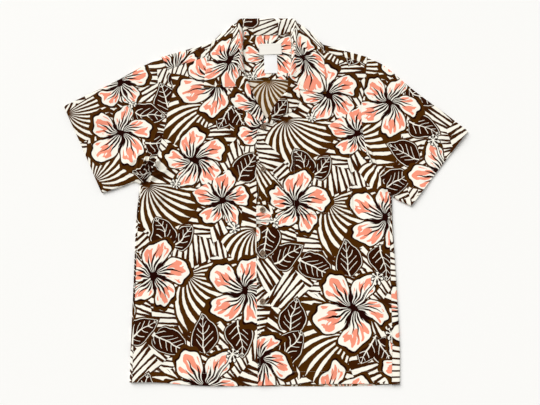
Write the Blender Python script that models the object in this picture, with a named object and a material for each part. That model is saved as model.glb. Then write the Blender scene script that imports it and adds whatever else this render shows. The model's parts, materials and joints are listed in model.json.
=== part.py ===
"""A short-sleeved shirt with a camp collar, buttoned and laid flat on its back on the plane Z = 0.

Left and right are the wearer's: left is +X. The collar lies towards +Y and the hem towards -Y. Tables, sizes
and the functions that read them are in millimetres; meshes are in metres. The origin is the middle of the
shirt's box, on the surface that it lies on. Each piece of cloth is one closed wall, and neighbours stay a
small gap apart.
"""

import math
from bisect import bisect_right
from collections import namedtuple

import bmesh
import bpy
from mathutils import Matrix, Vector

MM = 0.001
LAY_CENTRE = Vector((0.0, -0.9523, 0.0))  # the tables' own place for the middle of the shirt's box

# The cloth and how it stacks.
CLOTH = 1.2
GAP = 0.3
LAYER = CLOTH + GAP
RESTING_GAP = 0.5  # under a lapel or the collar, which lie on curved cloth
FOLD_RADIUS = 2.4  # outside radius of a side, shoulder or sleeve fold
FOLD_FLAT = 22.0  # the upper layer stays at a fold's height for this far from it
FOLD_FADE = 85.0  # and has come down by here
YOKE_SEAM_Y = 247.0
YOKE_RISE_START_Y = 175.0  # the fronts climb over the inner yoke from here
YOKE_RISE_END_Y = 238.0

# Seam stations: the pieces on both sides of a seam use the same ones, so their edges run side by side.
BODY_ROWS = 11  # from the hem to the underarm
ARMHOLE_ROWS = 10  # from the underarm to the yoke seam
FRONT_ROWS = BODY_ROWS + ARMHOLE_ROWS + 1
ARC_STEPS = 4  # flats round a half turn of cloth

HEM_Y = -400.0

Side = namedtuple("Side", "y fold seam")
SIDES = {
    "right": (
        Side(-400, -262.0, -256.0),
        Side(-330, -264.0, -258.5),
        Side(-200, -266.5, -261.5),
        Side(-70, -269.0, -264.5),
        Side(3, -266.0, -262.0),
    ),
    "left": (
        Side(-400, 264.5, 248.0),
        Side(-330, 268.5, 253.0),
        Side(-200, 269.0, 257.5),
        Side(-80, 268.5, 261.5),
        Side(-24, 270.0, 266.0),
    ),
}

Armhole = namedtuple("Armhole", "y x")
ARMHOLES = {
    "right": (
        Armhole(3, -262.0),
        Armhole(10, -252.5),
        Armhole(24, -242.0),
        Armhole(50, -234.6),
        Armhole(76, -230.3),
        Armhole(105, -224.8),
        Armhole(134, -219.3),
        Armhole(164, -215.4),
        Armhole(190, -212.5),
        Armhole(222, -206.5),
        Armhole(247, -208.5),
        Armhole(269, -218.5),
        Armhole(299, -235.0),
    ),
    "left": (
        Armhole(-24, 266.0),
        Armhole(-2, 257.5),
        Armhole(24, 245.2),
        Armhole(51, 231.0),
        Armhole(87, 219.9),
        Armhole(121, 215.1),
        Armhole(150, 213.5),
        Armhole(180, 213.5),
        Armhole(204, 218.0),
        Armhole(247, 225.5),
        Armhole(283, 230.5),
        Armhole(299, 232.5),
    ),
}

# Shoulder folds run from the neck to the armhole. The yoke comes forward over them by a strip that widens.
Shoulder = namedtuple("Shoulder", "neck_x neck_y arm_x arm_y seam_neck_y seam_arm_y")
SHOULDERS = {
    "right": Shoulder(-52.2, 359.5, -233.8, 301.8, 331.0, 269.0),
    "left": Shoulder(62.2, 355.0, 231.8, 301.5, 338.0, 283.0),
}
STRIP_NECK_X = {"right": -57.0, "left": 67.0}
NECK_SEAM_Y = 358.0

# The inner edge of each front: the closure, the line where the lapel turns back, and the neck.
LAPEL_START_ROW, LAPEL_END_ROW = 4, 9  # counted up from the underarm
LAPEL_Y = {"right": (154.0, 243.0), "left": (142.0, 241.0)}
FrontEdge = namedtuple("FrontEdge", "y x")
FRONT_EDGES = {
    "right": (
        FrontEdge(-400, 10.0),
        FrontEdge(95, 10.0),
        FrontEdge(128, 9.0),
        FrontEdge(150, 1.5),
        FrontEdge(175, -11.5),
        FrontEdge(201, -24.5),
        FrontEdge(228, -36.0),
        FrontEdge(245, -41.5),
        FrontEdge(262, -52.2),
        FrontEdge(331, -52.2),
    ),
    "left": (
        FrontEdge(-400, -11.8),
        FrontEdge(-240, -14.7),
        FrontEdge(-50, -17.3),
        FrontEdge(95, -17.2),
        FrontEdge(122, -16.5),
        FrontEdge(141, -1.0),
        FrontEdge(158, 12.5),
        FrontEdge(180, 21.5),
        FrontEdge(200, 38.0),
        FrontEdge(222, 52.0),
        FrontEdge(245, 55.5),
        FrontEdge(264, 62.2),
        FrontEdge(338, 62.2),
    ),
}
# The left front lies on the right one up to this far from its edge, and has come down after one more column.
OVERLAP_COLUMNS = (0.0, 14.0, 29.0, 56.0)
OVERLAP_FADE_Y = (152.0, 190.0)

# Each sleeve's two folds, from the armhole to the hem.
SleeveStation = namedtuple("SleeveStation", "along top_x top_y under_x under_y")
SLEEVES = {
    "right": (
        SleeveStation(0.00, -236.0, 301.5, -264.0, 3.6),
        SleeveStation(0.20, -278.0, 279.0, -279.0, 9.0),
        SleeveStation(0.50, -338.0, 240.5, -303.0, -0.5),
        SleeveStation(0.80, -400.0, 206.5, -330.0, -10.5),
        SleeveStation(1.00, -445.2, 182.4, -345.3, -15.1),
    ),
    "left": (
        SleeveStation(0.00, 234.5, 301.5, 271.2, -22.8),
        SleeveStation(0.20, 270.5, 281.5, 280.0, -28.5),
        SleeveStation(0.50, 332.0, 221.5, 291.5, -34.5),
        SleeveStation(0.80, 397.5, 165.5, 302.5, -40.0),
        SleeveStation(1.00, 445.2, 123.9, 309.3, -43.1),
    ),
}
SLEEVE_ROWS = 7

# The largest soft ridges of the upper layer: from one end to the other, with a half width and a height.
Ridge = namedtuple("Ridge", "x0 y0 x1 y1 half_width height")
RIDGES = (
    Ridge(-282, 18, -196, 58, 15, 4.5),
    Ridge(-272, -6, -206, -30, 14, 3.2),
    Ridge(-300, 48, -228, 108, 17, 2.8),
    Ridge(290, -18, 232, 40, 16, 3.4),
    Ridge(262, -48, 205, -88, 16, 2.6),
    Ridge(-236, -150, -214, -330, 22, 2.4),
    Ridge(226, -190, 204, -372, 22, 2.2),
    Ridge(-120, -300, -112, -392, 20, 1.8),
    Ridge(118, -310, 130, -392, 22, 1.8),
    Ridge(-392, 128, -330, 176, 16, 2.4),
    Ridge(392, 84, 322, 140, 17, 2.6),
)

# The collar in sections, from the middle of the back to each front end. foot: where it stands on the yoke.
# roll: its highest point. over: 0 where the fall turns under and lies on the floor behind the neck, 1 where
# it lies on the front, and between them it turns round the shoulder. edge: the free edge.
Section = namedtuple("Section", "foot_x foot_y roll_x roll_y roll_z over edge_x edge_y edge_z")
COLLAR_BACK = Section(5.0, 356.5, 5.0, 391.5, 8.6, 0.0, 5.0, 361.0, 0.6)
COLLAR_ENDS = {
    "right": (
        Section(-27.0, 356.5, -29.0, 391.5, 8.8, 0.0, -30.0, 361.0, 0.6),
        Section(-43.5, 356.0, -47.0, 391.5, 9.0, 0.0, -56.0, 361.5, 0.6),
        Section(-46.6, 355.4, -51.5, 391.3, 9.2, 0.0, -82.0, 352.7, 0.6),
        Section(-47.6, 354.4, -55.0, 390.8, 9.4, 0.0, -104.0, 345.5, 0.6),
        Section(-48.3, 353.2, -57.0, 389.8, 9.6, 0.15, -114.5, 342.5, 1.3),
        Section(-48.9, 351.8, -58.4, 388.2, 9.8, 0.5, -119.3, 341.2, 3.3),
        Section(-49.3, 350.2, -59.0, 386.0, 10.0, 0.85, -120.8, 338.6, 5.4),
        Section(-49.6, 347.6, -59.2, 382.6, 10.3, 1.0, -121.8, 334.5, 6.0),
        Section(-50.0, 328.0, -58.8, 356.0, 11.2, 1.0, -126.5, 313.0, 6.0),
        Section(-50.0, 302.0, -58.0, 320.0, 11.6, 1.0, -130.8, 287.0, 6.0),
        Section(-47.5, 278.0, -57.0, 288.0, 11.2, 1.0, -134.2, 258.0, 5.5),
        Section(-43.3, 261.0, -54.8, 266.0, 10.2, 1.0, -136.0, 239.0, 5.3),
        Section(-40.0, 251.0, -51.5, 252.0, 8.8, 1.0, -137.0, 224.8, 5.3),
    ),
    "left": (
        Section(37.0, 356.5, 39.0, 391.5, 8.8, 0.0, 41.0, 361.0, 0.6),
        Section(53.5, 355.0, 57.0, 391.5, 9.0, 0.0, 66.0, 359.5, 0.6),
        Section(56.6, 354.4, 61.5, 391.3, 9.2, 0.0, 91.0, 349.5, 0.6),
        Section(57.6, 353.4, 65.0, 390.8, 9.4, 0.0, 113.0, 342.2, 0.6),
        Section(58.3, 352.0, 67.0, 389.8, 9.6, 0.15, 123.5, 338.8, 1.3),
        Section(58.9, 350.6, 68.4, 388.2, 9.8, 0.5, 128.5, 337.0, 3.3),
        Section(59.3, 349.0, 69.0, 386.0, 10.0, 0.85, 130.2, 334.2, 5.4),
        Section(59.6, 346.4, 69.4, 382.4, 10.3, 1.0, 131.0, 330.0, 6.0),
        Section(60.0, 326.0, 69.6, 354.0, 11.2, 1.0, 132.8, 307.0, 6.0),
        Section(60.0, 300.0, 68.4, 317.0, 11.6, 1.0, 134.2, 280.0, 6.0),
        Section(57.3, 278.0, 64.5, 287.0, 11.2, 1.0, 135.4, 250.0, 5.5),
        Section(55.0, 263.0, 60.5, 266.5, 10.2, 1.0, 136.3, 227.0, 5.3),
        Section(52.0, 252.0, 57.0, 253.0, 8.8, 1.0, 137.0, 209.5, 5.3),
    ),
}
COLLAR_TURN_BULGE = 3.0  # how far the fall stands out where it turns from under to over
COLLAR_TURN_BELLY = 4.5  # and how much more in the middle of that turned edge
# The front end of the collar turns down at the notch before it runs out to the point.
COLLAR_NOTCH = {"right": Vector((-68.0, 227.5)), "left": Vector((76.5, 222.5))}
NOTCH_COLUMN = 7
COLLAR_FOOT_Z = 2 * LAYER + CLOTH / 2
COLLAR_COLUMNS = 12

# Each lapel's outer edge from the first button to its peak. Its inner edge follows the front's, row by row,
# and its top edge runs below the collar's end and its notch.
LAPEL_EDGES = {
    "right": ((-13.0, 146.0), (-34.8, 165.8), (-79.5, 190.0), (-81.5, 221.5)),
    "left": ((15.5, 138.5), (41.0, 159.0), (73.5, 180.0), (77.5, 216.0)),
}
LAPEL_TOPS = {
    "right": ((-44.5, 244.5), (-51.0, 245.5), (-58.5, 235.5), (-67.0, 223.5)),
    "left": ((58.5, 243.0), (62.0, 241.5), (68.5, 231.0), (74.5, 219.0)),
}
LAPEL_COLUMNS = 8
LAPEL_LOFT = 3.2

POCKET_X = (61.0, 186.0)
POCKET_Y = (-60.3, 84.9)
POCKET_CUT = 8.0  # the lower corners are cut off by this much
POCKET_CELLS = (7, 8)

Label = namedtuple("Label", "name x y width length turn_deg")
LABELS = (
    Label("neck_label", 12.3, 321.0, 51.0, 27.5, 2.6),
    Label("care_label", 13.2, 283.5, 29.5, 45.0, 1.5),
)
LABEL_CLOTH = 1.0

BUTTON_HOLE_RADIUS = 0.8
BUTTON_HOLE_OFFSET = 1.55
BUTTON_SIDES = 24
BUTTON_HOLE_SIDES = 8
Button = namedtuple("Button", "x y turn_deg")
BUTTONS = (
    Button(-2.4, 132.0, 20),
    Button(-2.8, 37.1, -8),
    Button(-4.0, -51.7, 34),
    Button(-2.9, -143.3, 12),
    Button(-3.1, -239.0, -25),
)
# Half of the button's profile, from the middle of the back round the rim to the middle of the dished face.
ProfilePoint = namedtuple("ProfilePoint", "radius height")
BUTTON_PROFILE = (
    ProfilePoint(0.0, 0.0),
    ProfilePoint(4.4, 0.0),
    ProfilePoint(5.9, 1.0),
    ProfilePoint(5.9, 1.7),
    ProfilePoint(5.2, 2.4),
    ProfilePoint(4.3, 2.4),
    ProfilePoint(3.3, 1.7),
    ProfilePoint(0.0, 1.6),
)

PRINT_COLOUR = (0.33, 0.22, 0.14, 1.0)
WRONG_SIDE_COLOUR = (0.45, 0.36, 0.22, 1.0)
LABEL_COLOUR = (0.90, 0.89, 0.86, 1.0)
BUTTON_COLOUR = (0.42, 0.29, 0.16, 1.0)


def ease(value):
    """0 to 1 with soft ends."""
    value = min(max(value, 0.0), 1.0)
    return value * value * (3.0 - 2.0 * value)


def mix(a, b, t):
    return a + (b - a) * t


def read(rows, at, column):
    """One column of a table as a smooth curve over its first column, which rises from row to row."""
    keys = [row[0] for row in rows]
    values = [getattr(row, column) for row in rows]
    at = min(max(at, keys[0]), keys[-1])
    low = min(bisect_right(keys, at), len(keys) - 1) - 1
    step = keys[low + 1] - keys[low]
    t = (at - keys[low]) / step

    def slope(index):
        before = max(index - 1, 0)
        after = min(index + 1, len(keys) - 1)
        return (values[after] - values[before]) / (keys[after] - keys[before])

    rise = values[low + 1] - values[low]
    start = slope(low) * step
    end = slope(low + 1) * step
    return values[low] + t * (start + t * (3 * rise - 2 * start - end + t * (start + end - 2 * rise)))


def along(points, t):
    """A point at this fraction of a polyline's corners."""
    place = min(max(t, 0.0), 1.0) * (len(points) - 1)
    low = min(int(place), len(points) - 2)
    return Vector(points[low]).lerp(Vector(points[low + 1]), place - low)


# Plan of the shirt: outlines that several pieces share.


def underarm_y(side):
    return SIDES[side][-1].y


def outward(side):
    return -1.0 if side == "right" else 1.0


def armhole_point(side, y, offset):
    """A point of the armhole seam, moved towards the sleeve by the offset."""
    rows = ARMHOLES[side]
    here = Vector((read(rows, y, "x"), y))
    ahead = Vector((read(rows, y + 1.0, "x"), y + 1.0))
    behind = Vector((read(rows, y - 1.0, "x"), y - 1.0))
    run = (ahead - behind).normalized()
    return here + Vector((run.y, -run.x)) * outward(side) * offset


def shoulder_point(side, x, inset):
    """A point of the shoulder fold at this x, moved into the shirt by the inset."""
    fold = SHOULDERS[side]
    run = Vector((fold.arm_x - fold.neck_x, fold.arm_y - fold.neck_y))
    t = (x - fold.neck_x) / run.x
    across = Vector((run.y, -run.x)).normalized() * (1.0 if side == "left" else -1.0)
    return Vector((fold.neck_x, fold.neck_y)) + run * t + across * inset


def shoulder_seam_y(side, x):
    fold = SHOULDERS[side]
    arm_x = armhole_point(side, fold.seam_arm_y, 0.0).x
    return mix(fold.seam_neck_y, fold.seam_arm_y, (x - fold.neck_x) / (arm_x - fold.neck_x))


def armhole_y(side, station):
    """The y of each seam station up the armhole; the last two are the forward shoulder seam and the fold."""
    if station <= ARMHOLE_ROWS:
        return mix(underarm_y(side), YOKE_SEAM_Y, (station / ARMHOLE_ROWS) ** 1.15)
    if station == ARMHOLE_ROWS + 1:
        return SHOULDERS[side].seam_arm_y
    return SHOULDERS[side].arm_y - FOLD_RADIUS


def fold_lines():
    """Every fold of the laid shirt in plan, as pairs of points."""
    lines = []
    for side, fold in SHOULDERS.items():
        lines.append((Vector((fold.neck_x, fold.neck_y)), Vector((fold.arm_x, fold.arm_y))))
        for low, high in zip(SIDES[side], SIDES[side][1:]):
            lines.append((Vector((low.fold, low.y)), Vector((high.fold, high.y))))
        for near, far in zip(SLEEVES[side], SLEEVES[side][1:]):
            lines.append((Vector((near.top_x, near.top_y)), Vector((far.top_x, far.top_y))))
            lines.append((Vector((near.under_x, near.under_y)), Vector((far.under_x, far.under_y))))
    return lines


FOLD_LINES = fold_lines()


def distance_to_line(point, start, end):
    run = end - start
    t = min(max((point - start).dot(run) / run.length_squared, 0.0), 1.0)
    return (point - start - run * t).length, t


def ridge_height(point):
    height = 0.0
    for ridge in RIDGES:
        start = Vector((ridge.x0, ridge.y0))
        end = Vector((ridge.x1, ridge.y1))
        distance, t = distance_to_line(point, start, end)
        across = ease(1.0 - distance / (2.0 * ridge.half_width))
        height += ridge.height * across * ease(4.0 * t) * ease(4.0 * (1.0 - t))
    return height


def under(x, y):
    """The lower face of the shirt's upper layer: low in the middle, at a fold's height along the folds."""
    point = Vector((x, y))
    nearest = min(distance_to_line(point, start, end)[0] for start, end in FOLD_LINES)
    near = ease((FOLD_FADE - nearest) / (FOLD_FADE - FOLD_FLAT))
    on_yoke = ease((y - YOKE_RISE_START_Y) / (YOKE_RISE_END_Y - YOKE_RISE_START_Y))
    on_body = ease((262.0 - abs(x)) / 60.0)
    base = LAYER * (1.0 + on_yoke * on_body)
    fold = 2.0 * FOLD_RADIUS - CLOTH
    return mix(base, fold, near) + ridge_height(point) * ease((nearest - 1.0) / 14.0)


def front_top(x, y):
    return under(x, y) + CLOTH


# Walls of cloth.


def new_material(name, colour, roughness):
    material = bpy.data.materials.new(name)
    material.use_nodes = True
    shader = material.node_tree.nodes["Principled BSDF"]
    shader.inputs["Base Color"].default_value = colour
    shader.inputs["Roughness"].default_value = roughness
    shader.inputs["Metallic"].default_value = 0.0
    return material


def add_object(name, shape, material):
    """Turns a bmesh in millimetres into an object in metres about the shirt's origin."""
    bmesh.ops.translate(shape, verts=shape.verts, vec=-LAY_CENTRE)
    bmesh.ops.scale(shape, verts=shape.verts, vec=(MM, MM, MM))
    bmesh.ops.recalc_face_normals(shape, faces=shape.faces)
    mesh = bpy.data.meshes.new(name)
    shape.to_mesh(mesh)
    shape.free()
    mesh.materials.append(material)
    mesh.shade_smooth()
    mesh.set_sharp_from_angle(angle=math.radians(50))
    obj = bpy.data.objects.new(name, mesh)
    bpy.context.collection.objects.link(obj)
    return obj


def cloth_wall(name, columns, rows, place, material, leave_out=None):
    """One closed wall from a grid in pattern space.

    place(column, row, face) gives a point in millimetres, with face 0 on one side of the cloth and 1 on the
    other. leave_out(column, row) drops the grid's cell that starts there.
    """
    shape = bmesh.new()
    to_cells = Matrix.Diagonal((columns, rows, 1.0, 1.0)) @ Matrix.Translation((0.5, 0.5, 0.0))
    bmesh.ops.create_grid(shape, x_segments=columns, y_segments=rows, size=0.5, matrix=to_cells)
    if leave_out:
        unused = []
        for face in shape.faces:
            centre = face.calc_center_median()
            if leave_out(int(centre.x), int(centre.y)):
                unused.append(face)
        bmesh.ops.delete(shape, geom=unused, context="FACES")
    raised = bmesh.ops.extrude_face_region(shape, geom=shape.faces[:])["geom"]
    raised_points = [item for item in raised if isinstance(item, bmesh.types.BMVert)]
    bmesh.ops.translate(shape, verts=raised_points, vec=(0.0, 0.0, 1.0))
    for vert in shape.verts:
        vert.co = place(round(vert.co.x), round(vert.co.y), round(vert.co.z))
    return add_object(name, shape, material)


def turned(fold_point, inward, angle, face):
    """A point on the half turn of a fold: angle 0 is underneath, pi on top. inward points from the fold into
    the shirt, and face 0 is the cloth's outer side."""
    radius = FOLD_RADIUS - face * CLOTH
    centre = fold_point + inward * FOLD_RADIUS
    flat = centre - inward * radius * math.sin(angle)
    return Vector((flat.x, flat.y, FOLD_RADIUS - radius * math.cos(angle)))


# Back and yokes.


def make_back(material):
    """The flat back with both side edges turned round the folds onto the front, as far as the side seams."""
    middle = 12
    turn = ARC_STEPS + 1  # one more column reaches the seam
    columns = middle + 2 * turn

    def row_y(side, row):
        if row <= BODY_ROWS:
            return mix(HEM_Y, underarm_y(side), row / BODY_ROWS)
        return armhole_y(side, row - BODY_ROWS)

    def flat_end(side, row):
        y = row_y(side, row)
        if row <= BODY_ROWS:
            return Vector((read(SIDES[side], y, "fold") - outward(side) * FOLD_RADIUS, y))
        end = armhole_point(side, y, -GAP / 2)
        return Vector((end.x, min(end.y, YOKE_SEAM_Y - GAP / 2)))

    def place(column, row, face):
        if turn <= column <= turn + middle:
            spot = flat_end("right", row).lerp(flat_end("left", row), (column - turn) / middle)
            return Vector((spot.x, spot.y, face * CLOTH))
        side = "right" if column < turn else "left"
        beyond = turn - column if side == "right" else column - turn - middle
        y = row_y(side, row)
        inward = Vector((-outward(side), 0.0))
        if beyond <= ARC_STEPS:
            fold = Vector((read(SIDES[side], y, "fold"), y))
            return turned(fold, inward, math.pi * beyond / ARC_STEPS, face)
        x = read(SIDES[side], y, "seam") + outward(side) * GAP / 2
        return Vector((x, y, under(x, y) + (1 - face) * CLOTH))

    def above_underarm(column, row):
        return row >= BODY_ROWS and not turn <= column < turn + middle

    cloth_wall("back", columns, BODY_ROWS + ARMHOLE_ROWS, place, material, above_underarm)


YOKE_FLAT_ROWS = 3
YOKE_WING_COLUMNS = 5
YOKE_NECK_COLUMNS = 5


def yoke_spot(column, row, inset, seam_gap):
    """The flat part of a yoke in plan, from the yoke seam at row 0 to the shoulder fold or the neck."""
    wings = YOKE_WING_COLUMNS
    neck = YOKE_NECK_COLUMNS
    side, other = ("right", "left") if column <= wings + neck // 2 else ("left", "right")
    from_arm = column if side == "right" else 2 * wings + neck - column
    low_y = YOKE_SEAM_Y + seam_gap
    fold = SHOULDERS[side]
    if from_arm == 0:
        arm_y = mix(fold.seam_arm_y, fold.arm_y - FOLD_RADIUS, (row - 1) / (YOKE_FLAT_ROWS - 1))
        arm = armhole_point(side, arm_y if row > 0 else YOKE_SEAM_Y, -GAP / 2 - inset)
        return Vector((arm.x, max(arm.y, low_y)))
    if from_arm <= wings:
        share = from_arm / wings
        arm_x = armhole_point(side, YOKE_SEAM_Y, -GAP / 2 - inset).x
        low_x = mix(arm_x, STRIP_NECK_X[side], share)
        high = shoulder_point(side, mix(fold.arm_x, STRIP_NECK_X[side], share), FOLD_RADIUS + inset)
    else:
        low_x = mix(STRIP_NECK_X[side], STRIP_NECK_X[other], (from_arm - wings) / neck)
        high = Vector((low_x, NECK_SEAM_Y - inset))
    return Vector((low_x, low_y)).lerp(high, row / YOKE_FLAT_ROWS)


def make_yoke_outer(material):
    """The back yoke: flat below, and turned over each shoulder fold to the forward shoulder seam."""
    wings = YOKE_WING_COLUMNS
    columns = 2 * wings + YOKE_NECK_COLUMNS
    turn_end = YOKE_FLAT_ROWS + ARC_STEPS

    def place(column, row, face):
        if row <= YOKE_FLAT_ROWS:
            spot = yoke_spot(column, row, 0.0, GAP / 2)
            return Vector((spot.x, spot.y, face * CLOTH))
        side = "right" if column <= wings else "left"
        from_arm = column if side == "right" else columns - column
        x = mix(SHOULDERS[side].arm_x, STRIP_NECK_X[side], from_arm / wings)
        inward = (shoulder_point(side, x, 1.0) - shoulder_point(side, x, 0.0)).normalized()
        if row <= turn_end:
            angle = math.pi * (row - YOKE_FLAT_ROWS) / ARC_STEPS
            return turned(shoulder_point(side, x, 0.0), inward, angle, face)
        arm_x = armhole_point(side, SHOULDERS[side].seam_arm_y, -GAP / 2).x
        seam_x = mix(arm_x, STRIP_NECK_X[side], from_arm / wings)
        seam_y = shoulder_seam_y(side, seam_x) + GAP / 2
        return Vector((seam_x, seam_y, under(seam_x, seam_y) + (1 - face) * CLOTH))

    def at_neck(column, row):
        return row >= YOKE_FLAT_ROWS and wings <= column < columns - wings

    cloth_wall("yoke_outer", columns, turn_end + 1, place, material, at_neck)


def make_yoke_inner(material):
    """The yoke's lining layer, which lies on the outer yoke and shows inside the neck."""
    inset = 1.5

    def place(column, row, face):
        spot = yoke_spot(column, row, inset, -1.0)
        return Vector((spot.x, spot.y, LAYER + face * CLOTH))

    cloth_wall("yoke_inner", 2 * YOKE_WING_COLUMNS + YOKE_NECK_COLUMNS, YOKE_FLAT_ROWS, place, material)


# Fronts.


def front_outer(side, row):
    """The side seam, the armhole and, at the last row, the forward shoulder seam."""
    if row <= BODY_ROWS:
        y = mix(HEM_Y, underarm_y(side), row / BODY_ROWS)
        return Vector((read(SIDES[side], y, "seam") - outward(side) * GAP / 2, y))
    end = armhole_point(side, armhole_y(side, row - BODY_ROWS), -GAP / 2)
    if row == FRONT_ROWS:
        end.y -= GAP / 2
    return end


def front_inner(side, row):
    """The closure, the lapel's turning line and the neck edge."""
    rows = FRONT_EDGES[side]
    lapel_low, lapel_high = LAPEL_Y[side]
    above = row - BODY_ROWS
    if above <= 0:
        y = mix(HEM_Y, underarm_y(side), row / BODY_ROWS)
    elif above <= LAPEL_START_ROW:
        y = mix(underarm_y(side), lapel_low, above / LAPEL_START_ROW)
    elif above <= LAPEL_END_ROW:
        y = mix(lapel_low, lapel_high, (above - LAPEL_START_ROW) / (LAPEL_END_ROW - LAPEL_START_ROW))
    else:
        top_y = SHOULDERS[side].seam_neck_y - GAP / 2
        y = mix(lapel_high, top_y, (above - LAPEL_END_ROW) / (FRONT_ROWS - BODY_ROWS - LAPEL_END_ROW))
    return Vector((read(rows, y, "x"), y))


def overlap(distance, y):
    """How far the left front is lifted over the right one, by the distance from its edge."""
    along_edge = ease((OVERLAP_FADE_Y[1] - y) / (OVERLAP_FADE_Y[1] - OVERLAP_FADE_Y[0]))
    flat, end = OVERLAP_COLUMNS[-2:]
    return LAYER * along_edge * min(max((end - distance) / (end - flat), 0.0), 1.0)


def front_lift(side, x, y):
    return overlap(x - read(FRONT_EDGES["left"], y, "x"), y) if side == "left" else 0.0


def make_front(side, material):
    columns = 11
    fixed = len(OVERLAP_COLUMNS) - 1

    def place(column, row, face):
        inner = front_inner(side, row)
        outer = front_outer(side, row)
        width = (outer - inner).length
        if side == "right":
            distance = width * column / columns
        elif column <= fixed:
            distance = OVERLAP_COLUMNS[column]
        else:
            distance = mix(OVERLAP_COLUMNS[-1], width, (column - fixed) / (columns - fixed))
        spot = inner.lerp(outer, distance / width)
        z = under(spot.x, spot.y) + face * CLOTH
        if side == "left":
            z += overlap(distance, spot.y)
        return Vector((spot.x, spot.y, z))

    cloth_wall(f"front_{side}", columns, FRONT_ROWS, place, material)


def make_lapel(side, material):
    """The turned-back top of a front: it rises round the front's inner edge and lies back on the front."""
    rows = LAPEL_END_ROW - LAPEL_START_ROW

    def middle(column, row):
        step = min(max(row, 0), rows)
        roll = front_inner(side, BODY_ROWS + LAPEL_START_ROW + step)
        edge = along(LAPEL_EDGES[side], step / rows)
        out = (edge - roll).normalized()
        width = (edge - roll).length
        # Distance from the front's edge, and height above the front's lower face.
        turn = ((-1.5, 0.9), (-2.0, 3.1), (-0.2, 5.2), (3.2, 6.0))
        if column < len(turn):
            distance, height = turn[max(column, 0)]
            spot = roll + out * distance
            base = roll
        else:
            share = (column - len(turn) + 1) / (LAPEL_COLUMNS - len(turn) + 1)
            spot = roll + out * mix(turn[-1][0], width, share)
            if step == rows:
                spot = along((*LAPEL_TOPS[side], edge), share)
            height = CLOTH + RESTING_GAP + CLOTH / 2 + LAPEL_LOFT * (1.0 - share) ** 1.6
            base = spot
        return Vector((spot.x, spot.y, under(base.x, base.y) + front_lift(side, base.x, base.y) + height))

    def place(column, row, face):
        return offset_point(middle, column, row, face, LAPEL_COLUMNS, rows)

    cloth_wall(f"lapel_{side}", LAPEL_COLUMNS, rows, place, material)


def offset_point(middle, column, row, face, columns, rows):
    """A point of a wall on one side of its middle surface, along the surface's own normal."""
    here = middle(column, row)
    across = middle(min(column + 1, columns), row) - middle(max(column - 1, 0), row)
    lengthwise = middle(column, min(row + 1, rows)) - middle(column, max(row - 1, 0))
    normal = across.cross(lengthwise).normalized()
    return here + normal * (face - 0.5) * CLOTH


def make_pocket(material):
    columns, rows = POCKET_CELLS

    def place(column, row, face):
        x = mix(*POCKET_X, column / columns)
        y = mix(*POCKET_Y, row / rows)
        if row == 0 and column in (0, columns):
            y += POCKET_CUT
        return Vector((x, y, front_top(x, y) + GAP + face * CLOTH))

    cloth_wall("pocket", columns, rows, place, material)


# Sleeves.


def make_sleeve(side, material):
    """One panel rolled into a flat tube: its two edges meet at the underarm fold."""
    layer = ARMHOLE_ROWS + 2
    half_turn = ARC_STEPS // 2
    columns = 2 * layer + 2 * ARC_STEPS
    table = SLEEVES[side]

    def folds(row):
        t = row / SLEEVE_ROWS
        top = Vector((read(table, t, "top_x"), read(table, t, "top_y")))
        low = Vector((read(table, t, "under_x"), read(table, t, "under_y")))
        return low, top

    def spot(station, row):
        """Plan position of a seam station, from the underarm fold's tangent to the top fold's."""
        t = row / SLEEVE_ROWS
        low, top = folds(row)
        up = (top - low).normalized()
        first = armhole_y(side, 0)
        share = (armhole_y(side, station) - first) / (armhole_y(side, layer) - first)
        straight = (low + up * FOLD_RADIUS).lerp(top - up * FOLD_RADIUS, share)
        seam = armhole_point(side, armhole_y(side, station), GAP / 2)
        if station == 0:
            seam = low + up * FOLD_RADIUS
        if row == 0:
            return seam
        low_0, top_0 = folds(0)
        bow = seam - low_0.lerp(top_0, share)
        return straight + bow * (1.0 - t) ** 2

    def place(column, row, face):
        low, top = folds(row)
        up = (top - low).normalized()
        if column <= half_turn:
            angle = math.pi * (0.5 - 0.5 * column / half_turn)
            point = turned(low, up, angle, face)
            if column == 0:
                point.z -= GAP / 2
            return point
        if column <= half_turn + layer:
            flat = spot(column - half_turn, row)
            return Vector((flat.x, flat.y, face * CLOTH))
        if column < half_turn + layer + ARC_STEPS:
            angle = math.pi * (column - half_turn - layer) / ARC_STEPS
            tangent = spot(layer, row)
            return turned(tangent + up * FOLD_RADIUS, -up, angle, face)
        if column <= half_turn + 2 * layer + ARC_STEPS:
            flat = spot(half_turn + 2 * layer + ARC_STEPS - column, row)
            return Vector((flat.x, flat.y, under(flat.x, flat.y) + (1 - face) * CLOTH))
        angle = math.pi * (1.0 - 0.5 * (column - half_turn - 2 * layer - ARC_STEPS) / half_turn)
        point = turned(low, up, angle, face)
        if column == columns:
            point.z += GAP / 2
        return point

    cloth_wall(f"sleeve_{side}", columns, SLEEVE_ROWS, place, material)


# Collar.


def collar_sections():
    right = list(reversed(COLLAR_ENDS["right"]))
    return right + [COLLAR_BACK] + list(COLLAR_ENDS["left"])


def bent(start, corner, end, t, at):
    """A point of the path that reaches the corner at the fraction `at`."""
    if t < at:
        return start.lerp(corner, t / at)
    return corner.lerp(end, (t - at) / (1.0 - at))


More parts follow.
